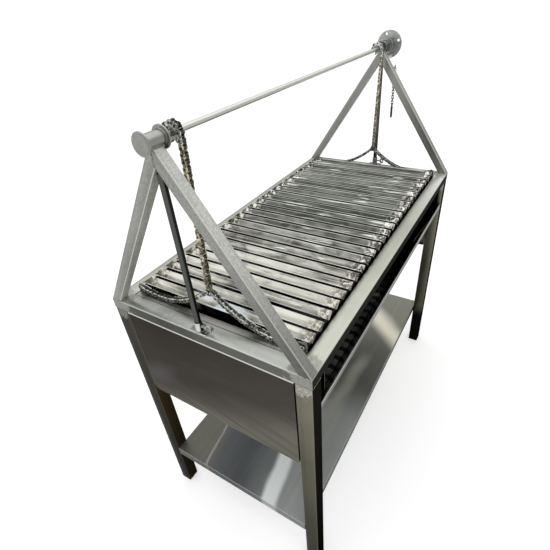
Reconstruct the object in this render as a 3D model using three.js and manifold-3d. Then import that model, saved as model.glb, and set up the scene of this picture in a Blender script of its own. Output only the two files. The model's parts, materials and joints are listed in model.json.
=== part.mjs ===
// Charcoal grill: a stainless firebox and shelf between four legs, and a grate of V slats that two
// roller chains lift from an axle carried by an A-frame at each end.
// Millimetres, +Z up, the floor at z = 0. X runs along the grill and the open side faces -Y.
import * as THREE from 'three';
import { mergeVertices } from 'three/addons/utils/BufferGeometryUtils.js';
import Module from 'manifold-3d';

const wasm = await Module();
wasm.setup();

// Whole grill
const frameLength = 1130;
const frameWidth = 570;
const frameHeight = 855;
const seatGap = 0.3;
const cutOverrun = 4;

// Legs and their end plugs
const legSide = 40;
const legWall = 1.5;
const legCornerRadius = 3;
const plugFlange = 4;
const plugDepth = 22;
const plugWall = 2.5;

// Top rails, mitred at the corners
const railWidth = 40;
const railDepth = 30;
const railWall = 1.5;
const railCornerRadius = 2.5;

// Sheet-metal end panels, one between each pair of legs
const panelHeight = 295;
const panelThickness = 2;
const panelInset = 1.5;
const panelReturn = 16;
const panelFrontGap = 3.5;
const panelRearGap = 1;
const panelFrontCorner = 5;
const panelRearCorner = 16;

// Shelf
const shelfHeight = 210;
const shelfThickness = 1.5;
const shelfFlange = 30;

// Firebox: a trough with sloping long sides and an open slot over the front lip
const fireboxSheet = 2;
const fireboxSlotHeight = 85;
const fireboxDepth = 190;
const fireboxFloorWidth = 400;
const fireboxLipInset = 1;
const fireboxLipHem = 16;
const fireboxFoldWidth = 15;
const fireboxCornerClearance = 1.5;
const rearWallTopFold = 26;
const fireboxEndInset = 68;
const rimDrop = 2;

// Ledges that carry the grate along the long rails
const ledgeWidth = 14;
const ledgeDepth = 20;
const ledgeSheet = 2;

// Grate
const slatPitch = 40;
const slatHalfWidth = 17;
const slatDepth = 17.5;
const slatSheet = 2;
const slatTopRise = 20;
const slatSideGap = 2;
const rackEndGap = 28;
const sideBarThickness = 6;
const sideBarInset = 4;
const sideBarHeight = 13;

// Axle and its hubs
const axleRise = 422;
const axleDiameter = 12;
const hubInset = 32;
const hubLength = 44;
const hubTubeDiameter = 28;
const hubTubeWall = 2.5;
const hubFlangeDiameter = 42;
const hubFlangeThickness = 3;
const hubFlangeBore = 17;
const hubCapThickness = 3;
const hubCapSpigot = 6;
const bushRecess = 5;
const axleNearSetback = 2;
const turnGap = 1;

// A-frames and their middle struts
const postSide = 25;
const postWall = 1.5;
const postCornerRadius = 2;
const strutDiameter = 14;
const socketDiameter = 18.5;
const socketHeight = 25;
const socketPlateLength = 46;
const socketPlateWidth = 28;
const socketPlateThickness = 3;
const socketPlateShift = 6;

// Thumb screws that clamp the struts
const thumbShankDiameter = 6;
const thumbShankLength = 13;
const thumbScrewHeight = 14;
const thumbCollarDiameter = 10;
const thumbCollarLength = 4;
const thumbWingLength = 20;
const thumbWingWidth = 13;
const thumbWingThickness = 3;
const thumbEyeDiameter = 6;

// Roller chain of half-inch pitch
const chainPitch = 12.7;
const chainPlateHeight = 11.8;
const chainPlateThickness = 1.6;
const chainInnerWidth = 7.75;
const chainRollerDiameter = 8.5;
const chainPinDiameter = 4.45;
const chainPlateBite = 0.15;
const chainSideGap = 2;
const yokeRise = 72;

// Sprockets
const sprocketTeeth = 8;
const sprocketThickness = 7;
const sprocketToothReach = 3.2;
const sprocketToothTip = 1.6;
const sprocketBossDiameter = 18;
const sprocketBossLength = 9;

// Yoke plates that join each lifting chain to its two branches
const yokeDrift = 6;
const yokeThickness = 5;
const yokeHoleRise = 15;
const yokeHoleSpread = 14.5;
const yokeEdge = 6;
const pinHoleClearance = 0.6;

// Lugs on the grate corners
const lugThickness = 5;
const lugWidth = 17;
const lugHoleRise = 16.5;
const lugHoleInset = 7.5;
const lugFootHeight = 7;
const lugEdge = 7.5;

// Index disc, its lock pin and the crank behind it
const indexDiscReach = 48;
const indexDiscDiameter = 90;
const indexDiscThickness = 5;
const indexHoleCount = 4;
const indexHoleDiameter = 9;
const indexHoleCircle = 70;
const indexHoleAngle = THREE.MathUtils.degToRad(250);
const indexBossDiameter = 26;
const indexBossLength = 22;
const spacerDiameter = 42;
const spacerThickness = 4;
const lockBossDiameter = 14;
const crankThickness = 5;
const crankEndRadius = 10;
const crankRadius = 42;
const crankAngle = THREE.MathUtils.degToRad(-37);
const crankBoltDiameter = 8;
const crankBoltHead = 13;
const crankBoltHeadLength = 4;
const gripDiameter = 22;
const gripWaist = 18;
const gripLength = 44;
const gripBore = 8.8;
const gripEndRound = 3;

// Keeper chain that holds the lock pin
const keeperDrop = 73;
const keeperEdgeInset = 6;
const keeperShankLength = 9;
const keeperShankDiameter = 5;
const keeperRingRadius = 6;
const keeperWireRadius = 1.5;
const keeperLinkRadius = 4;
const keeperLinkWire = 1.2;
const keeperLinkStretchShare = 1.6;
const keeperLinkBite = 0.25;
const keeperLinks = 13;
const lockPinDiameter = 8;
const lockPinLength = 40;
const lockPinChamfer = 1.5;
const lockPinRingRadius = 6;

// Facets on round work
const roundFacets = 24;
const smallRoundFacets = 12;
const hexFacets = 6;
const cornerSteps = 2;
const pocketSteps = 4;
const plateSteps = 2;
const wireFacets = 6;
const keeperLinkFacets = 8;
const keeperLinkWireFacets = 4;

// Halvings in the search for a hanging chain's spread
const searchSteps = 60;

const xAxis = new THREE.Vector3(1, 0, 0);
const yAxis = new THREE.Vector3(0, 1, 0);
const zAxis = new THREE.Vector3(0, 0, 1);

// Solids: every piece is worked as a closed solid and handed back as a geometry

function toSolid(geometry) {
  const bare = new THREE.BufferGeometry();
  bare.setAttribute('position', geometry.getAttribute('position').clone());
  if (geometry.index) bare.setIndex(geometry.index.clone());
  const merged = mergeVertices(bare);
  const corners = merged.index.array;
  const triangles = [];
  for (let i = 0; i < corners.length; i += 3) {
    const [a, b, c] = [corners[i], corners[i + 1], corners[i + 2]];
    if (a !== b && b !== c && c !== a) triangles.push(a, b, c);
  }
  const vertProperties = Float32Array.from(merged.getAttribute('position').array);
  const triVerts = Uint32Array.from(triangles);
  return new wasm.Manifold(new wasm.Mesh({ numProp: 3, vertProperties, triVerts }));
}

function toGeometry(solid) {
  const mesh = solid.getMesh();
  const geometry = new THREE.BufferGeometry();
  geometry.setAttribute('position', new THREE.BufferAttribute(Float32Array.from(mesh.vertProperties), 3));
  geometry.setIndex(new THREE.BufferAttribute(Uint32Array.from(mesh.triVerts), 1));
  geometry.computeVertexNormals();
  return geometry;
}

function joined(solids) {
  return solids.reduce((whole, next) => whole.add(next));
}

function box(xLow, xHigh, yLow, yHigh, zLow, zHigh) {
  const geometry = new THREE.BoxGeometry(xHigh - xLow, yHigh - yLow, zHigh - zLow);
  geometry.translate((xLow + xHigh) / 2, (yLow + yHigh) / 2, (zLow + zHigh) / 2);
  return toSolid(geometry);
}

function extruded(outline, length, holes) {
  const shape = new THREE.Shape(outline);
  shape.holes = holes.map((hole) => new THREE.Path(hole));
  const geometry = new THREE.ExtrudeGeometry(shape, { depth: length, bevelEnabled: false });
  geometry.translate(0, 0, -length / 2);
  return geometry;
}

// A prism centred on its length, from an outline drawn in (y, z), (x, z) or (x, y)
function prismAlongX(outline, length, holes = []) {
  const geometry = extruded(outline, length, holes);
  geometry.applyMatrix4(new THREE.Matrix4().makeBasis(yAxis, zAxis, xAxis));
  return toSolid(geometry);
}

function prismAlongY(outline, length, holes = []) {
  const geometry = extruded(outline, length, holes);
  geometry.applyMatrix4(new THREE.Matrix4().makeBasis(xAxis, zAxis, yAxis.clone().negate()));
  return toSolid(geometry);
}

function prismAlongZ(outline, length, holes = []) {
  return toSolid(extruded(outline, length, holes));
}

function rod(diameter, length, facets = roundFacets) {
  const geometry = new THREE.CylinderGeometry(diameter / 2, diameter / 2, length, facets);
  return toSolid(geometry);
}

function rodAlongX(diameter, xLow, xHigh, facets) {
  const turned = rod(diameter, xHigh - xLow, facets).rotate([0, 0, -90]);
  return turned.translate([(xLow + xHigh) / 2, 0, 0]);
}

function rodAlongZ(diameter, zLow, zHigh, facets) {
  const turned = rod(diameter, zHigh - zLow, facets).rotate([90, 0, 0]);
  return turned.translate([0, 0, (zLow + zHigh) / 2]);
}

function circle(radius, facets, centreU = 0, centreV = 0) {
  const turn = (index) => (index / facets) * 2 * Math.PI;
  const place = (a) => new THREE.Vector2(centreU + radius * Math.cos(a), centreV + radius * Math.sin(a));
  return Array.from({ length: facets }, (_, index) => place(turn(index)));
}

function arc(centreU, centreV, radius, from, to, steps) {
  return Array.from({ length: steps + 1 }, (_, index) => {
    const angle = from + ((to - from) * index) / steps;
    return new THREE.Vector2(centreU + radius * Math.cos(angle), centreV + radius * Math.sin(angle));
  });
}

// A rectangle whose four corners each have a radius, listed from the lower left, anticlockwise
function roundedRectangle(uLow, uHigh, vLow, vHigh, radii, steps = cornerSteps) {
  const [lowerLeft, lowerRight, upperRight, upperLeft] = radii;
  const quarter = Math.PI / 2;
  return [
    ...arc(uLow + lowerLeft, vLow + lowerLeft, lowerLeft, 2 * quarter, 3 * quarter, steps),
    ...arc(uHigh - lowerRight, vLow + lowerRight, lowerRight, 3 * quarter, 4 * quarter, steps),
    ...arc(uHigh - upperRight, vHigh - upperRight, upperRight, 0, quarter, steps),
    ...arc(uLow + upperLeft, vHigh - upperLeft, upperLeft, quarter, 2 * quarter, steps),
  ];
}

function rectangle(uLow, uHigh, vLow, vHigh) {
  return [
    new THREE.Vector2(uLow, vLow),
    new THREE.Vector2(uHigh, vLow),
    new THREE.Vector2(uHigh, vHigh),
    new THREE.Vector2(uLow, vHigh),
  ];
}

// The outline of a sheet bent along a line, with the line in the middle of its thickness
function bentSheet(line, thickness) {
  const points = line.map(([u, v]) => new THREE.Vector2(u, v));
  const normals = points.slice(1).map((point, index) => {
    const along = point.clone().sub(points[index]).normalize();
    return new THREE.Vector2(-along.y, along.x);
  });
  const offsets = points.map((_, index) => {
    const before = normals[Math.max(index - 1, 0)];
    const after = normals[Math.min(index, normals.length - 1)];
    const mitre = before.clone().add(after);
    return mitre.multiplyScalar(thickness / 2 / (1 + before.dot(after)));
  });
  const left = points.map((point, index) => point.clone().add(offsets[index]));
  const right = points.map((point, index) => point.clone().sub(offsets[index]));
  return [...right, ...left.reverse()];
}

function finish(colour, roughness, metalness) {
  return () => new THREE.MeshStandardMaterial({ color: colour, roughness, metalness, flatShading: true });
}

const brushedSteel = finish('#a3a49f', 0.42, 1);
const railSteel = finish('#b9bcb5', 0.4, 1);
const darkPanelSteel = finish('#5b5751', 0.45, 1);
const shelfSteel = finish('#6d757a', 0.38, 1);
const fireboxSteel = finish('#6a6966', 0.4, 1);
const postSteel = finish('#8f908d', 0.5, 1);
const slatSteel = finish('#94958f', 0.36, 1);
const chainBronze = finish('#8a7f60', 0.45, 1);
const chainSteel = finish('#77797a', 0.4, 1);
const brightSteel = finish('#c3c6c6', 0.25, 1);
const galvanised = finish('#a8adad', 0.5, 0.9);
const strutSteel = finish('#5a6066', 0.4, 1);
const bushBronze = finish('#a07a3c', 0.5, 1);
const blackPlastic = finish('#1c1c1c', 0.6, 0);

function piece(group, name, solid, material, place = {}) {
  const mesh = new THREE.Mesh(toGeometry(solid), material());
  const { x = 0, y = 0, z = 0, turn = 0, tilt = 0 } = place;
  mesh.name = name;
  mesh.position.set(x, y, z);
  mesh.rotation.set(tilt, 0, turn);
  group.add(mesh);
}

const ends = [
  { side: 'left', sign: -1 },
  { side: 'right', sign: 1 },
];
const flanks = [
  { side: 'front', sign: -1 },
  { side: 'rear', sign: 1 },
];

// Frame

const halfLength = frameLength / 2;
const halfWidth = frameWidth / 2;
const railUnderside = frameHeight - railDepth;
const axleHeight = frameHeight + axleRise;

function squareTube(side, wall, cornerRadius, length) {
  const half = side / 2;
  const outline = roundedRectangle(-half, half, -half, half, Array(4).fill(cornerRadius));
  const bore = rectangle(-half + wall, half - wall, -half + wall, half - wall);
  return prismAlongZ(outline, length, [bore]);
}

function legSolid() {
  const length = railUnderside - seatGap - plugFlange - seatGap;
  return squareTube(legSide, legWall, legCornerRadius, length).translate([0, 0, length / 2]);
}

function plugSolid() {
  const half = legSide / 2;
  const flange = prismAlongZ(
    roundedRectangle(-half, half, -half, half, Array(4).fill(legCornerRadius)),
    plugFlange,
  ).translate([0, 0, plugFlange / 2]);
  const stem = half - legWall - seatGap;
  const top = plugFlange + plugDepth;
  const body = box(-stem, stem, -stem, stem, plugFlange / 2, top);
  const inner = stem - plugWall;
  const hollow = box(-inner, inner, -inner, inner, plugFlange, top + cutOverrun);
  return flange.add(body).subtract(hollow);
}

// A rail lies along X with its outer face at y = 0 and its top at z = 0
function railSolid(length) {
  const section = roundedRectangle(0, railWidth, -railDepth, 0, Array(4).fill(railCornerRadius));
  const bore = rectangle(railWall, railWidth - railWall, -railDepth + railWall, -railWall);
  const tube = prismAlongX(section, length, [bore]);
  const setback = seatGap / Math.SQRT2;
  const outer = length / 2 - setback;
  const flare = cutOverrun;
  const plan = [
    new THREE.Vector2(-outer - flare, -flare),
    new THREE.Vector2(outer + flare, -flare),
    new THREE.Vector2(outer - railWidth - flare, railWidth + flare),
    new THREE.Vector2(-outer + railWidth + flare, railWidth + flare),
  ];
  const mitred = prismAlongZ(plan, 2 * (railDepth + cutOverrun));
  return tube.intersect(mitred);
}

function endPanelSolid() {
  const top = railUnderside - seatGap;
  const bottom = railUnderside - panelHeight;
  const yLow = -halfWidth + legSide + panelFrontGap;
  const yHigh = halfWidth - legSide - panelRearGap;
  const radii = [panelFrontCorner, panelRearCorner, 0, 0];
  const sheet = panelThickness;
  const pan = prismAlongX(roundedRectangle(yLow, yHigh, bottom, top, radii), panelReturn);
  const innerRadii = [panelFrontCorner - sheet, panelRearCorner - sheet, 0, 0];
  const innerOutline = roundedRectangle(
    yLow + sheet, yHigh - sheet, bottom + sheet, top + cutOverrun, innerRadii,
  );
  const hollow = prismAlongX(innerOutline, panelReturn).translate([-sheet, 0, 0]);
  const faceX = halfLength - panelInset - panelReturn / 2;
  return pan.subtract(hollow).translate([faceX, 0, 0]);
}

function shelfSolid() {
  const halfDepth = halfWidth - legSide - seatGap;
  const bottom = shelfHeight - shelfFlange;
  const tray = box(-halfLength, halfLength, -halfDepth, halfDepth, bottom, shelfHeight);
  const innerX = halfLength - shelfThickness;
  const innerY = halfDepth - shelfThickness;
  const under = box(-innerX, innerX, -innerY, innerY, bottom - cutOverrun, shelfHeight - shelfThickness);
  return tray.subtract(under);
}

function buildFrame() {
  const group = new THREE.Group();
  const leg = legSolid();
  const plug = plugSolid();
  for (const flank of flanks) {
    for (const end of ends) {
      const x = end.sign * (halfLength - legSide / 2);
      const y = flank.sign * (halfWidth - legSide / 2);
      const where = `${flank.side}_${end.side}`;
      piece(group, `leg_${where}`, leg, brushedSteel, { x, y, z: plugFlange + seatGap });
      piece(group, `foot_plug_${where}`, plug, blackPlastic, { x, y });
    }
  }
  const longRail = railSolid(frameLength);
  piece(group, 'rail_front', longRail, railSteel, { y: -halfWidth, z: frameHeight });
  piece(group, 'rail_rear', longRail, railSteel, { y: halfWidth, z: frameHeight, turn: Math.PI });
  const endRail = railSolid(frameWidth);
  for (const end of ends) {
    const turn = (end.sign * Math.PI) / 2;
    piece(group, `rail_${end.side}`, endRail, railSteel, { x: end.sign * halfLength, z: frameHeight, turn });
  }
  const panel = endPanelSolid();
  piece(group, 'end_panel_right', panel, darkPanelSteel);
  piece(group, 'end_panel_left', panel.mirror([1, 0, 0]), darkPanelSteel);
  piece(group, 'shelf', shelfSolid(), shelfSteel);
  return group;
}

// Firebox

const trough = {
  halfFloor: fireboxFloorWidth / 2,
  lipY: halfWidth - fireboxLipInset - fireboxSheet / 2,
  lipTop: railUnderside - fireboxSlotHeight,
  endX: halfLength - fireboxEndInset,
  rimTop: frameHeight - rimDrop,
  halfSpan: halfLength - legSide - seatGap,
};
trough.shoulder = trough.lipTop - fireboxLipHem;
trough.floorTop = trough.lipTop - fireboxDepth;
trough.foldHeight = trough.floorTop - fireboxSheet - seatGap - fireboxSheet / 2;

// The line of a sloping long side, drawn for the side at +Y, from its fold under the floor to its lip
function longSideLine() {
  return [
    [trough.halfFloor - fireboxFoldWidth, trough.foldHeight],
    [trough.halfFloor, trough.foldHeight],
    [trough.lipY, trough.shoulder],
  ];
}

function frontWallSolid() {
  const line = [...longSideLine(), [trough.lipY, trough.lipTop]];
  const mirrored = line.map(([y, z]) => [-y, z]);
  const wall = prismAlongX(bentSheet(mirrored, fireboxSheet), 2 * trough.halfSpan);
  const outerFace = -trough.lipY - fireboxSheet / 2;
  const hem = box(
    -trough.halfSpan, trough.halfSpan, outerFace, outerFace + 2 * fireboxSheet,
    trough.shoulder, trough.lipTop,
  );
  return wall.add(hem);
}

function rearWallSolid() {
  const foldTop = railUnderside - seatGap - fireboxSheet / 2;
  const line = [
    ...longSideLine(),
    [trough.lipY, foldTop],
    [trough.lipY - rearWallTopFold, foldTop],
  ];
  return prismAlongX(bentSheet(line, fireboxSheet), 2 * trough.halfSpan);
}

function troughFloorSolid() {
  const halfY = trough.halfFloor - fireboxSheet;
  const halfX = trough.endX - fireboxSheet - seatGap;
  return box(-halfX, halfX, -halfY, halfY, trough.floorTop - fireboxSheet, trough.floorTop);
}

// An end wall fills the trough's section and carries the rim strip that closes the gap to the end rail
function troughEndSolid() {
  const slope = Math.atan2(trough.lipY - trough.halfFloor, trough.shoulder - trough.foldHeight);
  const clearance = (fireboxSheet / 2 + fireboxCornerClearance) / Math.cos(slope);
  const bottom = trough.foldHeight + fireboxSheet / 2 + seatGap;
  const atHeight = (z) => trough.halfFloor + (z - trough.foldHeight) * Math.tan(slope) - clearance;
  const widest = trough.lipY - 2 * fireboxSheet - fireboxCornerClearance;
  const underRail = railUnderside - seatGap - 2 * fireboxSheet;
  const neck = halfWidth - railWidth - seatGap - ledgeWidth - seatGap;
  const rear = [
    [Math.min(atHeight(bottom), widest), bottom],
    [Math.min(atHeight(trough.shoulder), widest), trough.shoulder],
    [widest, trough.shoulder + fireboxSheet],
    [widest, underRail],
    [neck, underRail],
    [neck, trough.rimTop],
  ];
  const outline = [...rear, ...rear.map(([y, z]) => [-y, z]).reverse()];
  const wall = prismAlongX(outline.map(([y, z]) => new THREE.Vector2(y, z)), fireboxSheet);
  const rimReach = halfLength - railWidth - seatGap;
  const low = trough.rimTop - fireboxSheet;
  const rim = box(trough.endX - fireboxSheet, rimReach, -neck, neck, low, trough.rimTop);
  return wall.translate([trough.endX - fireboxSheet / 2, 0, 0]).add(rim);
}

function ledgeSolid() {
  const outer = halfWidth - railWidth - seatGap;
  const middle = ledgeSheet / 2;
  const line = [
    [outer - ledgeWidth, trough.rimTop - middle],
    [outer - middle, trough.rimTop - middle],
    [outer - middle, trough.rimTop - ledgeDepth],
  ];
  const length = 2 * (halfLength - railWidth - seatGap);
  return prismAlongX(bentSheet(line, ledgeSheet), length);
}

function buildFirebox() {
  const group = new THREE.Group();
  piece(group, 'firebox_front_wall', frontWallSolid(), fireboxSteel);
  piece(group, 'firebox_rear_wall', rearWallSolid(), fireboxSteel);
  piece(group, 'firebox_floor', troughFloorSolid(), fireboxSteel);
  const endWall = troughEndSolid();
  const ledge = ledgeSolid();
  for (const end of ends) {
    piece(group, `firebox_end_${end.side}`, endWall, fireboxSteel, { turn: end.sign < 0 ? Math.PI : 0 });
  }
  for (const flank of flanks) {
    piece(group, `grate_ledge_${flank.side}`, ledge, railSteel, { turn: flank.sign < 0 ? Math.PI : 0 });
  }
  return group;
}

// Grate

const slatTop = frameHeight + slatTopRise;
const slatHalfLength = halfWidth - railWidth - slatSideGap;
const rackHalfLength = halfLength - railWidth - rackEndGap;
const slatCount = 1 + Math.floor((2 * (rackHalfLength - slatHalfWidth)) / slatPitch);
const barBottom = trough.rimTop + seatGap;
const barOuter = slatHalfLength - sideBarInset;

function grateSolid() {
  const bottom = slatTop - slatDepth;
  const veeLine = [
    [-slatHalfWidth, slatTop],
    [0, bottom],
    [slatHalfWidth, slatTop],
  ];
  const slat = prismAlongY(bentSheet(veeLine, slatSheet), 2 * slatHalfLength);
  const slope = slatDepth / slatHalfWidth;
  const wedgeTop = slatTop + cutOverrun;
  const wedgeHalf = (wedgeTop - bottom) / slope;
  const wedge = prismAlongY(
    [
      new THREE.Vector2(0, bottom),
      new THREE.Vector2(wedgeHalf, wedgeTop),
      new THREE.Vector2(-wedgeHalf, wedgeTop),
    ],
    2 * slatHalfLength,
  );
  const bars = flanks.map(({ sign }) => {
    const [near, far] = [sign * barOuter, sign * (barOuter - sideBarThickness)];
    const [yLow, yHigh] = [Math.min(near, far), Math.max(near, far)];
    return box(-rackHalfLength, rackHalfLength, yLow, yHigh, barBottom, barBottom + sideBarHeight);
  });
  const places = Array.from({ length: slatCount }, (_, i) => (i - (slatCount - 1) / 2) * slatPitch);
  const notches = places.map((x) => wedge.translate([x, 0, 0]));
  const slats = places.map((x) => slat.translate([x, 0, 0]));
  const rack = notches.reduce((bar, notch) => bar.subtract(notch), joined(bars));
  return joined([rack, ...slats]);
}

// Roller chain, laid through a list of joints in the (y, z) plane

const halfInner = chainInnerWidth / 2;
const innerPlateEnd = halfInner + chainPlateThickness;
const outerPlateEnd = innerPlateEnd + chainPlateThickness - chainPlateBite;

function plateOutline(from, to) {
  const along = to.clone().sub(from).angle();
  const radius = chainPlateHeight / 2;
  const quarter = Math.PI / 2;
  return [
    ...arc(to.x, to.y, radius, along - quarter, along + quarter, plateSteps),
    ...arc(from.x, from.y, radius, along + quarter, along + 3 * quarter, plateSteps),
  ];
}

// A roller or pin, hexagonal at this scale, turned with the chain
function pinAt(joint, diameter, reach, twist) {
  const centre = new THREE.Vector2();
  const outline = circle(diameter / 2, hexFacets);
  outline.forEach((point) => point.rotateAround(centre, twist).add(joint));
  return prismAlongX(outline, 2 * reach);
}

// Links take turns between inner and outer plates; the first link is inner when firstInner is true
function chainSolid(joints, firstInner, openEnds) {
  const solids = [];
  const last = joints.length - 1;
  for (let i = 0; i < last; i += 1) {
    const inner = i % 2 === 0 ? firstInner : !firstInner;
    const low = inner ? halfInner : innerPlateEnd - chainPlateBite;
    const high = inner ? innerPlateEnd : outerPlateEnd;
    const plate = prismAlongX(plateOutline(joints[i], joints[i + 1]), high - low);
    const middle = (low + high) / 2;
    solids.push(plate.translate([middle, 0, 0]), plate.translate([-middle, 0, 0]));
  }
  joints.forEach((joint, index) => {
    const open = (index === 0 && openEnds.first) || (index === last && openEnds.last);
    const ahead = joints[Math.min(index + 1, last)].clone().sub(joints[Math.max(index - 1, 0)]);
    const reach = halfInner + chainPlateBite;
    if (open) solids.push(pinAt(joint, chainPinDiameter, innerPlateEnd, ahead.angle()));
    else solids.push(pinAt(joint, chainRollerDiameter, reach, ahead.angle()));
  });
  return joined(solids);
}

const sprocketRadius = chainPitch / (2 * Math.sin(Math.PI / sprocketTeeth));
const wrapLinks = sprocketTeeth / 2;
const chainLineX = rackHalfLength + chainSideGap + outerPlateEnd;
const strandTop = new THREE.Vector2(-sprocketRadius, axleHeight);
const strandDrift = sprocketRadius - yokeDrift;
const strandLinks = Math.round((axleHeight - slatTop - yokeRise) / chainPitch);
const strandDrop = Math.sqrt((strandLinks * chainPitch) ** 2 - strandDrift ** 2);
const strandFoot = new THREE.Vector2(-yokeDrift, axleHeight - strandDrop);
const branchHead = {
  front: new THREE.Vector2(-yokeDrift - yokeHoleSpread / 2, strandFoot.y - yokeHoleRise),
  rear: new THREE.Vector2(-yokeDrift + yokeHoleSpread / 2, strandFoot.y - yokeHoleRise),
};
const lugHoleY = slatHalfLength - lugHoleInset;
const lugHoleHeight = frameHeight + lugHoleRise;

function strandJoints() {
  const wrap = arc(0, axleHeight, sprocketRadius, 0, Math.PI, wrapLinks);
  const hanging = Array.from({ length: strandLinks }, (_, i) => {
    return strandTop.clone().lerp(strandFoot, (i + 1) / strandLinks);
  });
  return [...wrap, ...hanging];
}

// A branch has just links enough to reach, so it hangs slack in a catenary, whose spread is searched for
function branchJoints(head, foot) {
  const links = Math.floor(head.distanceTo(foot) / chainPitch) + 1;
  const span = Math.abs(foot.x - head.x);
  const drop = foot.y - head.y;
  const target = Math.sqrt((links * chainPitch) ** 2 - drop ** 2) / span;
  let [low, high] = [0, Math.PI * 2];
  for (let i = 0; i < searchSteps; i += 1) {
    const middle = (low + high) / 2;
    if (Math.sinh(middle) / middle < target) low = middle;
    else high = middle;
  }
  const spread = span / (2 * low);
  const lowest = span / 2 - spread * Math.asinh(drop / (2 * spread * Math.sinh(low)));
  const base = head.y - spread * Math.cosh(lowest / spread);
  const startArc = spread * Math.sinh(-lowest / spread);
  const side = Math.sign(foot.x - head.x);
  return Array.from({ length: links + 1 }, (_, i) => {
    const across = lowest + spread * Math.asinh((startArc + i * chainPitch) / spread);
    const height = base + spread * Math.cosh((across - lowest) / spread);
    return new THREE.Vector2(head.x + side * across, height);
  });
}

function yokeSolid() {
  const holes = [strandFoot, branchHead.front, branchHead.rear];
  const facets = smallRoundFacets;
  const holeRadius = (chainPinDiameter + pinHoleClearance) / 2;
  const [top, left, right] = holes;
  const radius = holeRadius + yokeEdge - chainPinDiameter / 2;
  const leanLeft = Math.atan2(top.y - left.y, left.x - top.x) - Math.PI / 2;
  const quarter = Math.PI / 2;
  const outline = [
    ...arc(right.x, right.y, radius, -quarter, quarter - leanLeft, cornerSteps + 1),
    ...arc(top.x, top.y, radius, quarter - leanLeft, quarter + leanLeft, cornerSteps),
    ...arc(left.x, left.y, radius, quarter + leanLeft, 3 * quarter, cornerSteps + 1),
  ];
  return prismAlongX(outline, yokeThickness, holes.map((at) => circle(holeRadius, facets, at.x, at.y)));
}

// A lug stands beyond the end of a side bar, and its foot reaches back to the bar's end
function lugSolid() {
  const holeRadius = (chainPinDiameter + pinHoleClearance) / 2;
  const half = lugWidth / 2;
  const top = arc(lugHoleY, lugHoleHeight, lugEdge, 0, Math.PI, 2 * cornerSteps);
  const outline = [
    new THREE.Vector2(lugHoleY - half, barBottom),
    new THREE.Vector2(lugHoleY + half, barBottom),
    ...top,
  ];
  const eye = prismAlongX(outline, lugThickness, [
    circle(holeRadius, smallRoundFacets, lugHoleY, lugHoleHeight),
  ]).translate([chainLineX, 0, 0]);
  const foot = box(
    rackHalfLength + seatGap, chainLineX, barOuter - sideBarThickness, barOuter,
    barBottom, barBottom + lugFootHeight,
  );
  return eye.add(foot);
}

function buildGrate() {
  const group = new THREE.Group();
  piece(group, 'grate_rack', grateSolid(), slatSteel);
  const lug = lugSolid();
  const yoke = yokeSolid();
  const lugMirrors = { front: lug.mirror([0, 1, 0]), rear: lug };
  const openEnds = { first: true, last: true };
  for (const end of ends) {
    const turnedLug = (solid) => (end.sign < 0 ? solid.mirror([1, 0, 0]) : solid);
    piece(group, `yoke_${end.side}`, yoke, chainSteel, { x: end.sign * chainLineX });
    for (const flank of flanks) {
      const where = `${flank.side}_${end.side}`;
      piece(group, `grate_lug_${where}`, turnedLug(lugMirrors[flank.side]), slatSteel);
      const foot = new THREE.Vector2(flank.sign * lugHoleY, lugHoleHeight);
      const joints = branchJoints(branchHead[flank.side], foot);
      const branch = chainSolid(joints, false, openEnds);
      piece(group, `branch_chain_${where}`, branch, chainSteel, { x: end.sign * chainLineX });
    }
  }
  return group;
}

// Lifting gear

const hubInnerX = halfLength - hubInset;
const hubOuterX = hubInnerX + hubLength;
const strutX = (hubInnerX + hubOuterX) / 2;
const postLean = Math.atan2(halfWidth, axleHeight - frameHeight);
const postX = halfLength - postSide / 2;

// A post of the A-frame, drawn for the front: its outer face runs from the frame's edge to the axle
function postSolid() {
  const length = Math.hypot(halfWidth, axleHeight - frameHeight) + postSide;
  const tube = squareTube(postSide, postWall, postCornerRadius, length);
  const leaning = tube
    .translate([0, postSide / 2, length / 2 - postSide / 2])
    .rotate([-THREE.MathUtils.radToDeg(postLean), 0, 0])
    .translate([0, -halfWidth, frameHeight]);
  const reach = postSide + cutOverrun;
  const top = axleHeight + length;
  const below = box(-reach, reach, -frameWidth, frameWidth, 0, frameHeight + seatGap);
  const beyond = box(-reach, reach, -seatGap / 2, frameWidth, 0, top);
  const hubBore = rodAlongX(hubTubeDiameter + 2 * seatGap, -reach, reach).translate([0, 0, axleHeight]);
  const above = box(-reach, reach, -frameWidth, frameWidth, axleHeight, top);
  return leaning.subtract(below).subtract(beyond).subtract(hubBore).subtract(above);
}

function hubSolid(withOuterFlange) {
  const tube = rodAlongX(hubTubeDiameter, hubInnerX, hubOuterX);
  const inner = rodAlongX(hubFlangeDiameter, hubInnerX, hubInnerX + hubFlangeThickness);
  const outer = rodAlongX(hubFlangeDiameter, hubOuterX - hubFlangeThickness, hubOuterX);
  const outside = withOuterFlange ? joined([tube, inner, outer]) : joined([tube, inner]);
  const bore = rodAlongX(
    hubTubeDiameter - 2 * hubTubeWall, hubInnerX + hubFlangeThickness, hubOuterX + cutOverrun,
  );
  const opening = rodAlongX(hubFlangeBore, hubInnerX - cutOverrun, hubOuterX);
  return outside.subtract(bore).subtract(opening).translate([0, 0, axleHeight]);
}

function bushSolid() {
  const diameter = hubTubeDiameter - 2 * hubTubeWall - 2 * seatGap;
  const low = hubInnerX + hubFlangeThickness + seatGap;
  const high = hubOuterX - hubCapSpigot - bushRecess;
  const bore = rodAlongX(axleDiameter + 2 * seatGap, low - cutOverrun, high + cutOverrun);
  return rodAlongX(diameter, low, high).subtract(bore).translate([0, 0, axleHeight]);
}

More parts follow.
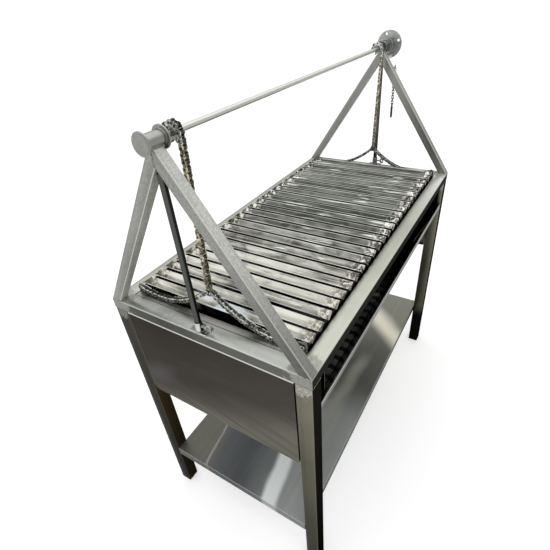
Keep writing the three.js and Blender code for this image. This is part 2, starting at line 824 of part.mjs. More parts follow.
function hubCapSolid() {
  const face = rodAlongX(hubFlangeDiameter, hubOuterX + seatGap, hubOuterX + seatGap + hubCapThickness);
  const bore = hubTubeDiameter - 2 * hubTubeWall - 2 * seatGap;
  const spigot = rodAlongX(bore, hubOuterX - hubCapSpigot, hubOuterX + seatGap + hubCapThickness / 2);
  return face.add(spigot).translate([0, 0, axleHeight]);
}

const innerFaceApex = axleHeight - postSide / Math.sin(postLean);
const socketBase = frameHeight + seatGap;
const socketFloor = socketBase + socketPlateThickness;
const strutTop = innerFaceApex - (strutDiameter / 2 + seatGap / Math.cos(postLean)) / Math.tan(postLean);
const strutBore = strutDiameter + 2 * seatGap;

function socketSolid() {
  const half = socketPlateLength / 2;
  const reach = socketPlateWidth / 2;
  const corners = Array(4).fill(legCornerRadius);
  const plate = prismAlongZ(roundedRectangle(-reach, reach, -half, half, corners), socketPlateThickness)
    .translate([-socketPlateShift, 0, socketBase + socketPlateThickness / 2]);
  const tube = rodAlongZ(socketDiameter, socketBase, socketFloor + socketHeight);
  const bore = rodAlongZ(strutBore, socketFloor, socketFloor + socketHeight + cutOverrun);
  const screwHole = rod(thumbShankDiameter + 2 * seatGap, socketDiameter, smallRoundFacets)
    .translate([0, -socketDiameter / 2, socketFloor + thumbScrewHeight]);
  return plate.add(tube).subtract(bore).subtract(screwHole);
}

// A thumb screw points along +Y with its tip at y = 0; its eye lies in the (y, z) plane
function thumbScrewSolid() {
  const shank = rod(thumbShankDiameter, thumbShankLength, smallRoundFacets)
    .translate([0, -thumbShankLength / 2, 0]);
  const collarBack = thumbShankLength + thumbCollarLength;
  const collar = rod(thumbCollarDiameter, thumbCollarLength, smallRoundFacets)
    .translate([0, -thumbShankLength - thumbCollarLength / 2, 0]);
  const wingCentre = -collarBack - thumbWingWidth / 2 + thumbCollarLength / 2;
  const half = thumbWingLength / 2;
  const halfWidthOfWing = thumbWingWidth / 2;
  const wing = prismAlongX(
    roundedRectangle(
      wingCentre - halfWidthOfWing, wingCentre + halfWidthOfWing, -half, half,
      Array(4).fill(halfWidthOfWing - thumbWingThickness / 2), cornerSteps + 1,
    ),
    thumbWingThickness,
    [circle(thumbEyeDiameter / 2, smallRoundFacets, wingCentre, 0)],
  );
  return joined([shank, collar, wing]);
}

// Sprocket outline: a round pocket under each roller and a blunt tooth between two pockets
function sprocketSolid() {
  const pocket = chainRollerDiameter / 2 + seatGap;
  const step = (2 * Math.PI) / sprocketTeeth;
  const tipRadius = sprocketRadius + sprocketToothReach;
  const tipTurn = sprocketToothTip / 2 / tipRadius;
  const pocketSweep = Math.PI / 2 - step / 4;
  const outline = Array.from({ length: sprocketTeeth }, (_, tooth) => {
    const middle = tooth * step;
    const centreU = sprocketRadius * Math.cos(middle);
    const centreV = sprocketRadius * Math.sin(middle);
    const inward = middle + Math.PI;
    const bottom = arc(centreU, centreV, pocket, inward + pocketSweep, inward - pocketSweep, pocketSteps);
    const tip = arc(0, 0, tipRadius, middle + step / 2 - tipTurn, middle + step / 2 + tipTurn, 1);
    return [...bottom, ...tip];
  }).flat();
  const bore = circle(axleDiameter / 2 + seatGap, smallRoundFacets);
  const plate = prismAlongX(outline, sprocketThickness, [bore]);
  const bossEnd = sprocketThickness / 2 + sprocketBossLength;
  const boss = rodAlongX(sprocketBossDiameter, 0, bossEnd);
  const through = rodAlongX(axleDiameter + 2 * seatGap, -cutOverrun, bossEnd + cutOverrun, smallRoundFacets);
  return plate.add(boss.subtract(through));
}

const axleNearX = hubOuterX - hubCapSpigot - axleNearSetback;
const indexDiscX = hubOuterX + indexDiscReach;
const crankX = indexDiscX + indexDiscThickness + seatGap;
const axleFarX = crankX + crankThickness;
const bolt = {
  y: crankRadius * Math.cos(crankAngle),
  z: crankRadius * Math.sin(crankAngle),
  gripLow: axleFarX + turnGap,
};
bolt.gripHigh = bolt.gripLow + gripLength;
bolt.headLow = bolt.gripHigh + turnGap;
bolt.end = bolt.headLow + crankBoltHeadLength;

function axleBore(xLow, xHigh) {
  return rodAlongX(axleDiameter + 2 * seatGap, xLow - cutOverrun, xHigh + cutOverrun);
}

function indexDiscSolid() {
  const bossLow = indexDiscX - indexBossLength;
  const disc = rodAlongX(indexDiscDiameter, indexDiscX, indexDiscX + indexDiscThickness, 2 * roundFacets);
  const boss = rodAlongX(indexBossDiameter, bossLow, indexDiscX + indexDiscThickness / 2);
  const spacer = rodAlongX(spacerDiameter, bossLow, bossLow + spacerThickness);
  const holes = Array.from({ length: indexHoleCount }, (_, i) => {
    const angle = indexHoleAngle + (i / indexHoleCount) * 2 * Math.PI;
    const radius = indexHoleCircle / 2;
    return rodAlongX(indexHoleDiameter, bossLow, indexDiscX + 2 * indexDiscThickness, smallRoundFacets)
      .translate([0, radius * Math.cos(angle), radius * Math.sin(angle)]);
  });
  const solid = joined([disc, boss, spacer]).subtract(axleBore(bossLow, indexDiscX + indexDiscThickness));
  return solid.subtract(joined(holes));
}

// The tube that receives the lock pin, welded to the end face of the front post
function lockBossSolid() {
  const radius = indexHoleCircle / 2;
  const [low, high] = [halfLength + seatGap, indexDiscX - turnGap];
  const bore = rodAlongX(indexHoleDiameter, low + hubFlangeThickness, high + cutOverrun, smallRoundFacets);
  return rodAlongX(lockBossDiameter, low, high, smallRoundFacets)
    .subtract(bore)
    .translate([0, radius * Math.cos(indexHoleAngle), radius * Math.sin(indexHoleAngle)]);
}

function crankSolid() {
  const radius = crankEndRadius;
  const lean = crankAngle;
  const quarter = Math.PI / 2;
  const outline = [
    ...arc(bolt.y, bolt.z, radius, lean - quarter, lean + quarter, 2 * cornerSteps + 2),
    ...arc(0, 0, radius, lean + quarter, lean + 3 * quarter, 2 * cornerSteps + 2),
  ];
  const hole = circle(axleDiameter / 2 + seatGap, roundFacets);
  const arm = prismAlongX(outline, crankThickness, [hole]).translate([crankX + crankThickness / 2, 0, 0]);
  const shank = rodAlongX(crankBoltDiameter, crankX + crankThickness / 2, bolt.end, smallRoundFacets);
  const head = rodAlongX(crankBoltHead, bolt.headLow, bolt.end, hexFacets);
  return arm.add(shank.add(head).translate([0, bolt.y, bolt.z]));
}

function gripSolid() {
  const [low, high] = [bolt.gripLow, bolt.gripHigh];
  const [end, waist, bore] = [gripDiameter / 2, gripWaist / 2, gripBore / 2];
  const profile = [
    [bore, low],
    [end - gripEndRound, low],
    [end, low + gripEndRound],
    [end, low + 2 * gripEndRound],
    [waist, (low + high) / 2],
    [end, high - 2 * gripEndRound],
    [end, high - gripEndRound],
    [end - gripEndRound, high],
    [bore, high],
    [bore, low],
  ].map(([radius, x]) => new THREE.Vector2(radius, x));
  return toSolid(new THREE.LatheGeometry(profile, roundFacets)).rotate([0, 0, -90]);
}

// Keeper chain, its eye screw and the lock pin that hangs on it

const keeperX = halfLength + keeperShankLength + keeperRingRadius;
const keeperHeight = axleHeight - keeperDrop;
const keeperY = -keeperDrop * Math.tan(postLean) + keeperEdgeInset;
const linkWireZ = keeperLinkWire * keeperLinkStretchShare;
const linkReach = keeperLinkRadius * keeperLinkStretchShare;
const linkPitch = 2 * (linkReach - linkWireZ) + keeperLinkBite;
const firstLinkZ = -keeperRingRadius + keeperWireRadius + seatGap + linkWireZ - linkReach;

// A wire ring in the (x, z) plane
function ring(radius) {
  const geometry = new THREE.TorusGeometry(radius, keeperWireRadius, wireFacets, smallRoundFacets);
  return toSolid(geometry).rotate([90, 0, 0]);
}

function keeperEyeSolid() {
  const shankLow = -keeperRingRadius - keeperShankLength + seatGap;
  const shank = rodAlongX(keeperShankDiameter, shankLow, -keeperRingRadius, smallRoundFacets);
  return ring(keeperRingRadius).add(shank);
}

function keeperChainSolid() {
  const facets = [keeperLinkWireFacets, keeperLinkFacets];
  const round = new THREE.TorusGeometry(keeperLinkRadius, keeperLinkWire, ...facets);
  const link = toSolid(round).rotate([90, 0, 0]).scale([1, 1, keeperLinkStretchShare]);
  const links = Array.from({ length: keeperLinks }, (_, i) => {
    const turned = i % 2 === 0 ? link.rotate([0, 0, 90]) : link;
    return turned.translate([0, 0, firstLinkZ - i * linkPitch]);
  });
  return joined(links);
}

function lockPinSolid() {
  const lastLinkZ = firstLinkZ - (keeperLinks - 1) * linkPitch;
  const wireZ = lastLinkZ - linkReach + linkWireZ + seatGap + keeperWireRadius;
  const ringCentre = wireZ - lockPinRingRadius;
  const eye = ring(lockPinRingRadius).translate([0, 0, ringCentre]);
  const shankTop = ringCentre - lockPinRingRadius;
  const low = shankTop - lockPinLength;
  const shank = rodAlongZ(lockPinDiameter, low + lockPinChamfer, shankTop, smallRoundFacets);
  const radius = lockPinDiameter / 2;
  const nose = new THREE.CylinderGeometry(radius, radius - lockPinChamfer, lockPinChamfer, smallRoundFacets);
  const tip = toSolid(nose).rotate([90, 0, 0]).translate([0, 0, low + lockPinChamfer / 2]);
  return joined([eye, shank, tip]);
}

function buildLift() {
  const group = new THREE.Group();
  const post = postSolid();
  const bush = bushSolid();
  const sprocket = sprocketSolid();
  const lifting = chainSolid(strandJoints(), true, { first: false, last: true });
  const strut = rodAlongZ(strutDiameter, socketFloor + seatGap, strutTop, smallRoundFacets);
  const socket = socketSolid();
  const thumbScrew = thumbScrewSolid();
  const screwTipY = -strutDiameter / 2 - seatGap;
  for (const end of ends) {
    const turn = end.sign < 0 ? Math.PI : 0;
    for (const flank of flanks) {
      const name = `a_frame_post_${flank.side}_${end.side}`;
      piece(group, name, post, postSteel, { x: end.sign * postX, turn: flank.sign < 0 ? 0 : Math.PI });
    }
    piece(group, `hub_${end.side}`, hubSolid(end.sign > 0), galvanised, { turn });
    piece(group, `hub_bush_${end.side}`, bush, bushBronze, { turn });
    const x = end.sign * strutX;
    const shifted = end.sign < 0 ? socket.mirror([1, 0, 0]) : socket;
    piece(group, `strut_${end.side}`, strut, strutSteel, { x });
    piece(group, `strut_socket_${end.side}`, shifted, galvanised, { x });
    const screwPlace = { x, y: screwTipY, z: socketFloor + thumbScrewHeight };
    piece(group, `thumb_screw_${end.side}`, thumbScrew, galvanised, screwPlace);
    const chainLine = { x: end.sign * chainLineX };
    piece(group, `lift_chain_${end.side}`, lifting, chainBronze, chainLine);
    piece(group, `sprocket_${end.side}`, sprocket, chainSteel, {
      x: end.sign * chainLineX, z: axleHeight, turn: end.sign > 0 ? Math.PI : 0,
    });
  }
  piece(group, 'hub_cap_left', hubCapSolid(), galvanised, { turn: Math.PI });
  piece(group, 'axle', rodAlongX(axleDiameter, -axleNearX, axleFarX), brightSteel, { z: axleHeight });
  piece(group, 'index_disc', indexDiscSolid(), galvanised, { z: axleHeight });
  piece(group, 'lock_boss', lockBossSolid(), galvanised, { z: axleHeight });
  piece(group, 'crank_arm', crankSolid(), galvanised, { z: axleHeight });
  const gripPlace = { y: bolt.y, z: axleHeight + bolt.z };
  piece(group, 'crank_grip', gripSolid(), blackPlastic, gripPlace);
  const keeperPlace = { x: keeperX, y: keeperY, z: keeperHeight + keeperRingRadius };
  piece(group, 'keeper_eye', keeperEyeSolid(), brightSteel, keeperPlace);
  piece(group, 'keeper_chain', keeperChainSolid(), chainSteel, keeperPlace);
  piece(group, 'lock_pin', lockPinSolid(), strutSteel, keeperPlace);
  return group;
}

const grill = new THREE.Group();
grill.name = 'charcoal_grill';
grill.add(buildFrame(), buildFirebox(), buildGrate(), buildLift());

// The lifting gear reaches further at the crank's end, so the grill is set back to centre the whole
const nearReach = hubOuterX + seatGap + hubCapThickness;
grill.position.x = (nearReach - bolt.end) / 2;

export default grill;
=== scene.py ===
import json
import math

import bmesh
import bpy
from mathutils import Matrix, Vector


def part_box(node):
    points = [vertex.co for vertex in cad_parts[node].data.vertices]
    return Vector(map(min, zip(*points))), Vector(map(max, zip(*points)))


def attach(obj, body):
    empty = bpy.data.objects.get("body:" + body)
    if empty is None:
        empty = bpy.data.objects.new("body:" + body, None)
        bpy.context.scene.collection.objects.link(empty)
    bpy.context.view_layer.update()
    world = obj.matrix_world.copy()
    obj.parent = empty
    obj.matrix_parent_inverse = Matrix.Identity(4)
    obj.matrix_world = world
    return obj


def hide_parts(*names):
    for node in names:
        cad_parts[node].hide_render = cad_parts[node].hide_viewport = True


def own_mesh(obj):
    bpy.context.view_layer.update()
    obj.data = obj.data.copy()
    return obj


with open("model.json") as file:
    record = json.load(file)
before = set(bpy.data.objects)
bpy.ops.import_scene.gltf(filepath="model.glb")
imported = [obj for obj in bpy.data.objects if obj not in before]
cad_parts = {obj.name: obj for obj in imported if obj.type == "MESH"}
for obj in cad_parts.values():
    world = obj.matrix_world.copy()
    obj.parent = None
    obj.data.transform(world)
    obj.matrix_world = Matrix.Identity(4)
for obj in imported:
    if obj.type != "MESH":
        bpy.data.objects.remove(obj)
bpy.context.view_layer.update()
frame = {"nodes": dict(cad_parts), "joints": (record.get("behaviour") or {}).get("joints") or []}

MM = 0.001
QUARTER_TURN = math.pi / 2
FULL_TURN = 2 * math.pi
ENDS = {"left": -1, "right": 1}
FLANKS = {"front": -1, "rear": 1}
CORNERS = [(flank, end) for flank in FLANKS for end in ENDS]

# The frame, its axle and its grate, read from the CAD nodes
RAIL_LOW, RAIL_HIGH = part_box("rail_front")
AXLE_LOW, AXLE_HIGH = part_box("axle")
GRATE_LOW, GRATE_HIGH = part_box("grate_rack")
SHELF_LOW, SHELF_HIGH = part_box("shelf")
PANEL_LOW, PANEL_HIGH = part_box("end_panel_left")
FRAME_MIDDLE = (RAIL_LOW.x + RAIL_HIGH.x) / 2
FRAME_HALF_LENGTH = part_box("leg_front_right")[1].x - FRAME_MIDDLE
FRAME_HALF_WIDTH = -RAIL_LOW.y
FRAME_HEIGHT = RAIL_HIGH.z
LEG_SIDE = 40 * MM
AXLE_HEIGHT = (AXLE_LOW.z + AXLE_HIGH.z) / 2
AXLE_RADIUS = (AXLE_HIGH.z - AXLE_LOW.z) / 2
POST_LEAN = math.atan2(FRAME_HALF_WIDTH, AXLE_HEIGHT - FRAME_HEIGHT)


# Node trees

def named(sockets, key):
    """A socket by its place, or by its name among those that the node's settings leave in use."""
    if isinstance(key, int):
        return sockets[key]
    return next(socket for socket in sockets if socket.name == key and socket.enabled)


class Signal:
    """What leaves a node's socket. Arithmetic on it adds Math nodes."""

    def __init__(self, graph, socket):
        self.graph = graph
        self.socket = socket

    def beside(self, name):
        """Another output of the same node."""
        return Signal(self.graph, named(self.socket.node.outputs, name))

    def __abs__(self):
        return self.graph.math("ABSOLUTE", self)

    def __add__(self, other):
        return self.graph.math("ADD", self, other)

    def __radd__(self, other):
        return self.graph.math("ADD", other, self)

    def __sub__(self, other):
        return self.graph.math("SUBTRACT", self, other)

    def __rsub__(self, other):
        return self.graph.math("SUBTRACT", other, self)

    def __mul__(self, other):
        return self.graph.math("MULTIPLY", self, other)

    def __rmul__(self, other):
        return self.graph.math("MULTIPLY", other, self)

    def __truediv__(self, other):
        return self.graph.math("DIVIDE", self, other)

    def __mod__(self, other):
        return self.graph.math("MODULO", self, other)


class Graph:
    """A node tree as it is written."""

    def __init__(self, tree):
        self.tree = tree

    def add(self, kind, settings=None, values=None, output=0):
        """Any node: its settings are set first, then the values or links of its sockets."""
        node = self.tree.nodes.new(kind)
        for name, value in (settings or {}).items():
            if name == "stops":
                ramp = node.color_ramp.elements
                while len(ramp) < len(value):
                    ramp.new(1)
                for element, (position, colour) in zip(ramp, value):
                    element.position = position
                    element.color = colour
            elif name == "captures":
                for data_type, label in value:
                    node.capture_items.new(data_type, label)
            else:
                setattr(node, name, value)
        for key, value in (values or {}).items():
            for one in value if isinstance(value, list) and isinstance(value[0], Signal) else [value]:
                if isinstance(one, Signal):
                    self.tree.links.new(one.socket, named(node.inputs, key))
                else:
                    named(node.inputs, key).default_value = one
        return Signal(self, named(node.outputs, output)) if node.outputs else None

    def math(self, operation, first, second=0.0):
        return self.add("ShaderNodeMath", {"operation": operation}, {0: first, 1: second})

    def vector_math(self, operation, first, second=(0, 0, 0), output=0):
        return self.add("ShaderNodeVectorMath", {"operation": operation}, {0: first, 1: second}, output)

    def vector(self, x=0.0, y=0.0, z=0.0):
        return self.add("ShaderNodeCombineXYZ", None, {0: x, 1: y, 2: z})

    def parts(self, vector):
        """A vector as three numbers."""
        parts = self.add("ShaderNodeSeparateXYZ", None, {0: vector})
        return parts, parts.beside("Y"), parts.beside("Z")


def linear(text):
    """A colour written as in a picture editor, as the linear values that a shader takes."""
    shares = [int(text[i:i + 2], 16) / 255 for i in (1, 3, 5)]
    return [s / 12.92 if s <= 0.04045 else ((s + 0.055) / 1.055) ** 2.4 for s in shares] + [1]


def shade(colour, share):
    return [min(part * share, 1) for part in colour[:3]] + [1]


def grey(share):
    return [share, share, share, 1]


EDGE_DULLING = 0.5


class Finish(Graph):
    """One material, with the patterns that the grill's finishes share."""

    def __init__(self, name, slot=None):
        self.material = bpy.data.materials.new(name)
        self.material.use_nodes = True
        super().__init__(self.material.node_tree)
        self.tree.nodes.clear()
        self.place = self.add("ShaderNodeTexCoord", output="Object")

    def axes(self):
        """The place on the object as three numbers."""
        return self.parts(self.place)

    def grained(self, lengths, turn=(0, 0, 0)):
        """The place on the object, drawn out by these lengths along turned axes."""
        return self.add(
            "ShaderNodeMapping", {"vector_type": "TEXTURE"},
            {"Vector": self.place, "Rotation": turn, "Scale": lengths},
        )

    def noise(self, place, scale, detail=3, roughness=0.55, distortion=0):
        sockets = {"Scale": scale, "Detail": detail, "Roughness": roughness, "Distortion": distortion}
        return self.add("ShaderNodeTexNoise", None, {"Vector": place, **sockets})

    def between(self, signal, low, high, low_value=0, high_value=1):
        """A smooth step of a signal from one value to another."""
        return self.add(
            "ShaderNodeMapRange", {"interpolation_type": "SMOOTHSTEP"},
            {"Value": signal, "From Min": low, "From Max": high, "To Min": low_value, "To Max": high_value},
        )

    def fading(self, signal, low, high):
        """A smooth step down."""
        return self.between(signal, low, high, 1, 0)

    def band(self, signal, inner, outer):
        """Full where a signal lies within one distance of zero, and gone by the other."""
        return self.fading(abs(signal), inner, outer)

    def blend(self, share, first, second):
        return self.add(
            "ShaderNodeMix", {"data_type": "RGBA"}, {"Factor": share, "A": first, "B": second}, "Result",
        )

    def stained(self, share, base, stain):
        """A colour multiplied by a stain where the share is high."""
        return self.add(
            "ShaderNodeMix", {"data_type": "RGBA", "blend_type": "MULTIPLY"},
            {"Factor": share, "A": base, "B": stain}, "Result",
        )

    def tinted(self, share, base, tint):
        """A colour with a tint laid over it where the share is high."""
        return self.blend(share, base, linear(tint))

    def toned(self, share, base, level):
        """A colour brought to a level of its own brightness where the share is high."""
        return self.stained(share, base, grey(level))

    def side(self, axis, sign):
        """Which faces look one way along an axis."""
        parts = self.add("ShaderNodeSeparateXYZ", None, {0: self.place.beside("Normal")})
        return self.between(parts.beside(axis) * sign, 0.5, 0.8)

    def facing(self, direction):
        """How far the surface looks along a direction, from 1 to -1."""
        return self.vector_math("DOT_PRODUCT", self.place.beside("Normal"), direction, "Value")

    def corner(self, *faces):
        """Where a rounded corner turns between faces that look along these directions."""
        flat = 0
        for face in faces:
            flat = self.math("MAXIMUM", abs(self.facing(face)), flat)
        return self.fading(flat, 0.86, 0.98)

    def bump(self, height, strength, depth):
        return self.add("ShaderNodeBump", None, {"Height": height, "Strength": strength, "Distance": depth})

    def surface(self, **sockets):
        labels = [name.replace("_", " ").title().replace("Ior", "IOR") for name in sockets]
        shader = self.add("ShaderNodeBsdfPrincipled", None, dict(zip(labels, sockets.values())))
        self.add("ShaderNodeOutputMaterial", None, {"Surface": shader})
        return self.material

    def steel(self, base, rough, normal, metallic=1, **sockets):
        """A bright metal surface, whose reflection is dulled at glancing angles."""
        return self.surface(
            base_color=base, roughness=rough, normal=normal, metallic=metallic,
            specular_tint=grey(EDGE_DULLING), **sockets,
        )


# Brushed finishes

GRAIN_LENGTH = 240 * MM
GRAIN_WIDTH = 0.8 * MM
GRAIN_DEPTH = 0.15 * MM
GRAIN = {
    "x": (GRAIN_LENGTH, GRAIN_WIDTH, GRAIN_WIDTH),
    "y": (GRAIN_WIDTH, GRAIN_LENGTH, GRAIN_WIDTH),
    "z": (GRAIN_WIDTH, GRAIN_WIDTH, GRAIN_LENGTH),
}
BAND_SHARE = 0.06
MIDDLE_REACH = 100 * MM
SHADE_REACH = 0.2
AXES = ((1, 0, 0), (0, 1, 0), (0, 0, 1))


def brushed_metal(
    finish, colour, roughness, grain, turn=(0, 0, 0), streak=0.12, band=0.14, cloud=0.3, marks=0.2,
):
    """Base colour, roughness and normal: fine grain, faint bands, soft clouds and smears of handling."""
    drawn = finish.grained(GRAIN[grain], turn)
    fine = finish.noise(drawn, 1, 3, 0.65)
    bands = finish.noise(drawn, BAND_SHARE, 2, 0.5)
    clouds = finish.noise(finish.place, 3.2, 4, 0.55, 0.6)
    smears = finish.between(finish.noise(finish.place, 26, 6, 0.62, 1.2), 0.56, 0.74)
    tone = (fine - 0.5) * streak + (bands - 0.5) * band + (clouds - 0.5) * cloud
    share = finish.between(tone, -SHADE_REACH, SHADE_REACH)
    base = finish.blend(share, shade(colour, 0.62), shade(colour, 1.42))
    base = finish.blend(smears * marks, base, shade(colour, 1.45))
    rough = (clouds - 0.5) * 0.2 + (fine - 0.5) * 0.12 + roughness + smears * (marks * 0.2)
    return base, rough, finish.bump(fine, 0.08, GRAIN_DEPTH)


def side_bar_steel():
    """The grate's side bars, browned by heat."""
    finish = Finish("side_bar_steel", "slat_steel")
    return finish.steel(*brushed_metal(finish, linear("#4d4d49"), 0.45, "x"))


POST_SHADE_TOP = AXLE_HEIGHT - 100 * MM
POST_SHADE_REACH = 200 * MM


# low_share and front_share: levels of painted shade lower down and of painted light on the open side's face.
def post_finish(flank, low_share, front_share, softness):
    """A post: paler towards the hub, with painted shade lower down, paler again on the open side's face as
    painted light, and bright on its corners with painted highlights.
    """
    finish = Finish(f"post_steel_{flank}", "post_steel")
    sign = FLANKS[flank]
    base, rough, normal = brushed_metal(
        finish, linear("#93948f"), 0.4, "z", (sign * POST_LEAN, 0, 0), streak=0.3, band=0.2, marks=0.3,
    )
    mottle = finish.between(finish.noise(finish.place, 240, 3, 0.6), 0.35, 0.65)
    base = finish.stained(1, base, finish.blend(mottle, grey(0.86), grey(1.12)))
    along, _, height = finish.axes()
    # Painted shade: toned lower down by low_share, less so towards the far end.
    low = finish.fading(height, FRAME_HEIGHT, POST_SHADE_TOP)
    low = low * finish.between(along, FRAME_MIDDLE, FRAME_MIDDLE + POST_SHADE_REACH, 1, 0.35)
    base = finish.toned(low, base, low_share)
    # Painted light: the face on the open side is paler.
    open_side = finish.side("Y", -1)
    base = finish.toned(open_side, base, front_share)
    lean, rise = math.cos(POST_LEAN) * sign, math.sin(POST_LEAN)
    # Painted highlights on the rounded corners.
    bright = finish.corner((1, 0, 0), (0, lean, rise), (0, -rise, lean))
    base = finish.tinted(bright * 0.6, base, "#dcddd7")
    return finish.steel(base, rough, normal, 1 - open_side * softness)


GROUND_REACH = 36 * MM
GROUND_EDGE = 46 * MM
GROUND_RAGGEDNESS = 80 * MM
SCRATCH_WIDTH = 0.7 * MM
LONG_SCRATCH = (30 * MM, SCRATCH_WIDTH, SCRATCH_WIDTH)
CROSS_SCRATCH = (SCRATCH_WIDTH, 26 * MM, SCRATCH_WIDTH)


def ground_corner(finish):
    """Where a welded corner of the frame is ground flat: its ragged patch and the scratches in it."""
    centred = finish.vector_math("SUBTRACT", finish.place, (FRAME_MIDDLE, 0, 0))
    quarter = finish.vector_math("ABSOLUTE", centred)
    corner = (FRAME_HALF_LENGTH - LEG_SIDE / 2, FRAME_HALF_WIDTH - LEG_SIDE / 2, FRAME_HEIGHT - LEG_SIDE / 2)
    reach = finish.vector_math("DISTANCE", quarter, corner, "Value")
    ragged = reach + (finish.noise(finish.place, 70, 5, 0.7) - 0.5) * GROUND_RAGGEDNESS
    patch = finish.fading(ragged, GROUND_REACH, GROUND_EDGE)
    first = finish.noise(finish.grained(LONG_SCRATCH, (0.5, 0.7, 0.9)), 1, 4, 0.75, 0.8)
    second = finish.noise(finish.grained(CROSS_SCRATCH, (0.4, -0.6, 0.5)), 1, 4, 0.75, 0.8)
    return patch, finish.math("MAXIMUM", first, second)


def welded_tube(finish, base, rough, normal, patch, open_side_shade):
    """The surface of frame tube: less metallic where it is ground, and not metallic on the open side, which
    carries painted shade.
    """
    metallic = (1 - open_side_shade) * (1 - patch * 0.6)
    return finish.steel(base, rough + patch * 0.12, normal, metallic, specular_ior_level=0)


# Where a painted highlight gleams on a rail's top
RAIL_GLEAM_ALONG = (100 * MM, 500 * MM)
RAIL_GLEAM_ACROSS = (-200 * MM, -100 * MM)


# flank and front: how far the painted shade darkens the upright faces and the faces on the open side.
def rail_finish(name, tint, grain, flank, front, **marks):
    """Brushed rail: bright above, with painted shade on its sides and darker painted shade on the open side,
    a painted gleam on its top, painted highlights on its corners, and ground pale at its ends.
    """
    finish = Finish(name, "rail_steel")
    colour = linear(tint)
    base, rough, normal = brushed_metal(finish, colour, 0.36, grain, band=0.16, **marks)
    along, across, _ = finish.axes()
    # A painted highlight: a pale gleam over part of the top.
    gleam = finish.between(along, *RAIL_GLEAM_ALONG) * finish.fading(across, *RAIL_GLEAM_ACROSS)
    base = finish.tinted(gleam * 0.85, base, "#fbfbf6")
    # Painted shade: the upright faces are duller, and the faces on the open side darker still.
    upright = 1 - finish.side("Z", 1)
    open_side_shade = finish.side("Y", -1)
    base = finish.toned(upright, base, flank)
    base = finish.toned(open_side_shade, base, front / flank)
    patch, scratches = ground_corner(finish)
    lifted = finish.blend(finish.between(scratches, 0.48, 0.68), shade(colour, 0.55), linear("#e2e0d6"))
    base = finish.blend(patch * (1 - open_side_shade) * 0.9, base, lifted)
    # Painted highlights on the rounded corners.
    base = finish.tinted(finish.corner(*AXES) * 0.8, base, "#e8e9e3")
    return welded_tube(finish, base, rough, normal, patch, open_side_shade)


FAR_FOOT_SHADE_FADE = 20 * MM


def leg_finish():
    """Legs: painted shade darker towards the floor and on the rear flank, painted shade on the open side and
    on the front right leg below the shelf, painted highlights on the corners, and ground pale at the rails.
    """
    finish = Finish("leg_steel", "brushed_steel")
    colour = linear("#5b5a53")
    base, rough, normal = brushed_metal(finish, colour, 0.34, "z", streak=0.1, band=0.16, marks=0.15)
    along, across, height = finish.axes()
    # Painted shade: darker towards the floor, and darker on the legs of the rear flank.
    low = finish.fading(height, 0, FRAME_HEIGHT)
    closed_side = finish.between(across, -MIDDLE_REACH, MIDDLE_REACH)
    # Painted shade on the front right leg below the shelf.
    far_foot_shade = finish.fading(height, SHELF_LOW.z - FAR_FOOT_SHADE_FADE, SHELF_HIGH.z + FAR_FOOT_SHADE_FADE)
    far_foot_shade = far_foot_shade * finish.between(along, -MIDDLE_REACH, MIDDLE_REACH) * (1 - closed_side)
    base = finish.toned(low, base, 0.34)
    base = finish.stained(1, base, finish.blend(closed_side, linear("#fffdf0"), grey(0.36)))
    base = finish.toned(1, base, 1.5)
    patch, scratches = ground_corner(finish)
    patch = patch * (1 - closed_side * 0.5)
    lifted = finish.blend(finish.between(scratches, 0.48, 0.62), shade(colour, 0.7), linear("#f4f2ea"))
    # Painted shade on the faces of the open side: dark on the front legs, warm on the rear legs.
    open_side_shade = finish.side("Y", -1)
    base = finish.blend(patch * (1 - open_side_shade) * 0.9, base, lifted)
    base = finish.stained(open_side_shade, base, finish.blend(closed_side, grey(0.07), linear("#f0d4a4")))
    # Painted highlights on the rounded corners, weaker on the rear legs.
    base = finish.tinted(finish.corner(*AXES) * 0.4 * (1 - closed_side * 0.5), base, "#a9a99f")
    base = finish.toned(far_foot_shade, base, 0.06)
    return welded_tube(finish, base, rough, normal, patch, open_side_shade)


PANEL_SLANT = 0.3
PANEL_WANDER = 80 * MM
PANEL_REFLECTION = (-20 * MM, 150 * MM)
PANEL_SHADE = (140 * MM, 340 * MM)
PANEL_BAND_LENGTHS = (1000 * MM, 400 * MM, 30 * MM)
PANEL_GLEAM_PLACE = 140 * MM
PANEL_GLEAM_REACH = 50 * MM
PANEL_GLEAM_ACROSS = (100 * MM, 200 * MM)
PANEL_TOP_HIGHLIGHT = (PANEL_HIGH.z - 4.5 * MM, PANEL_HIGH.z - 4 * MM)
PANEL_SIDE_HIGHLIGHT = (PANEL_HIGH.y - 3 * MM, PANEL_HIGH.y - 2 * MM)


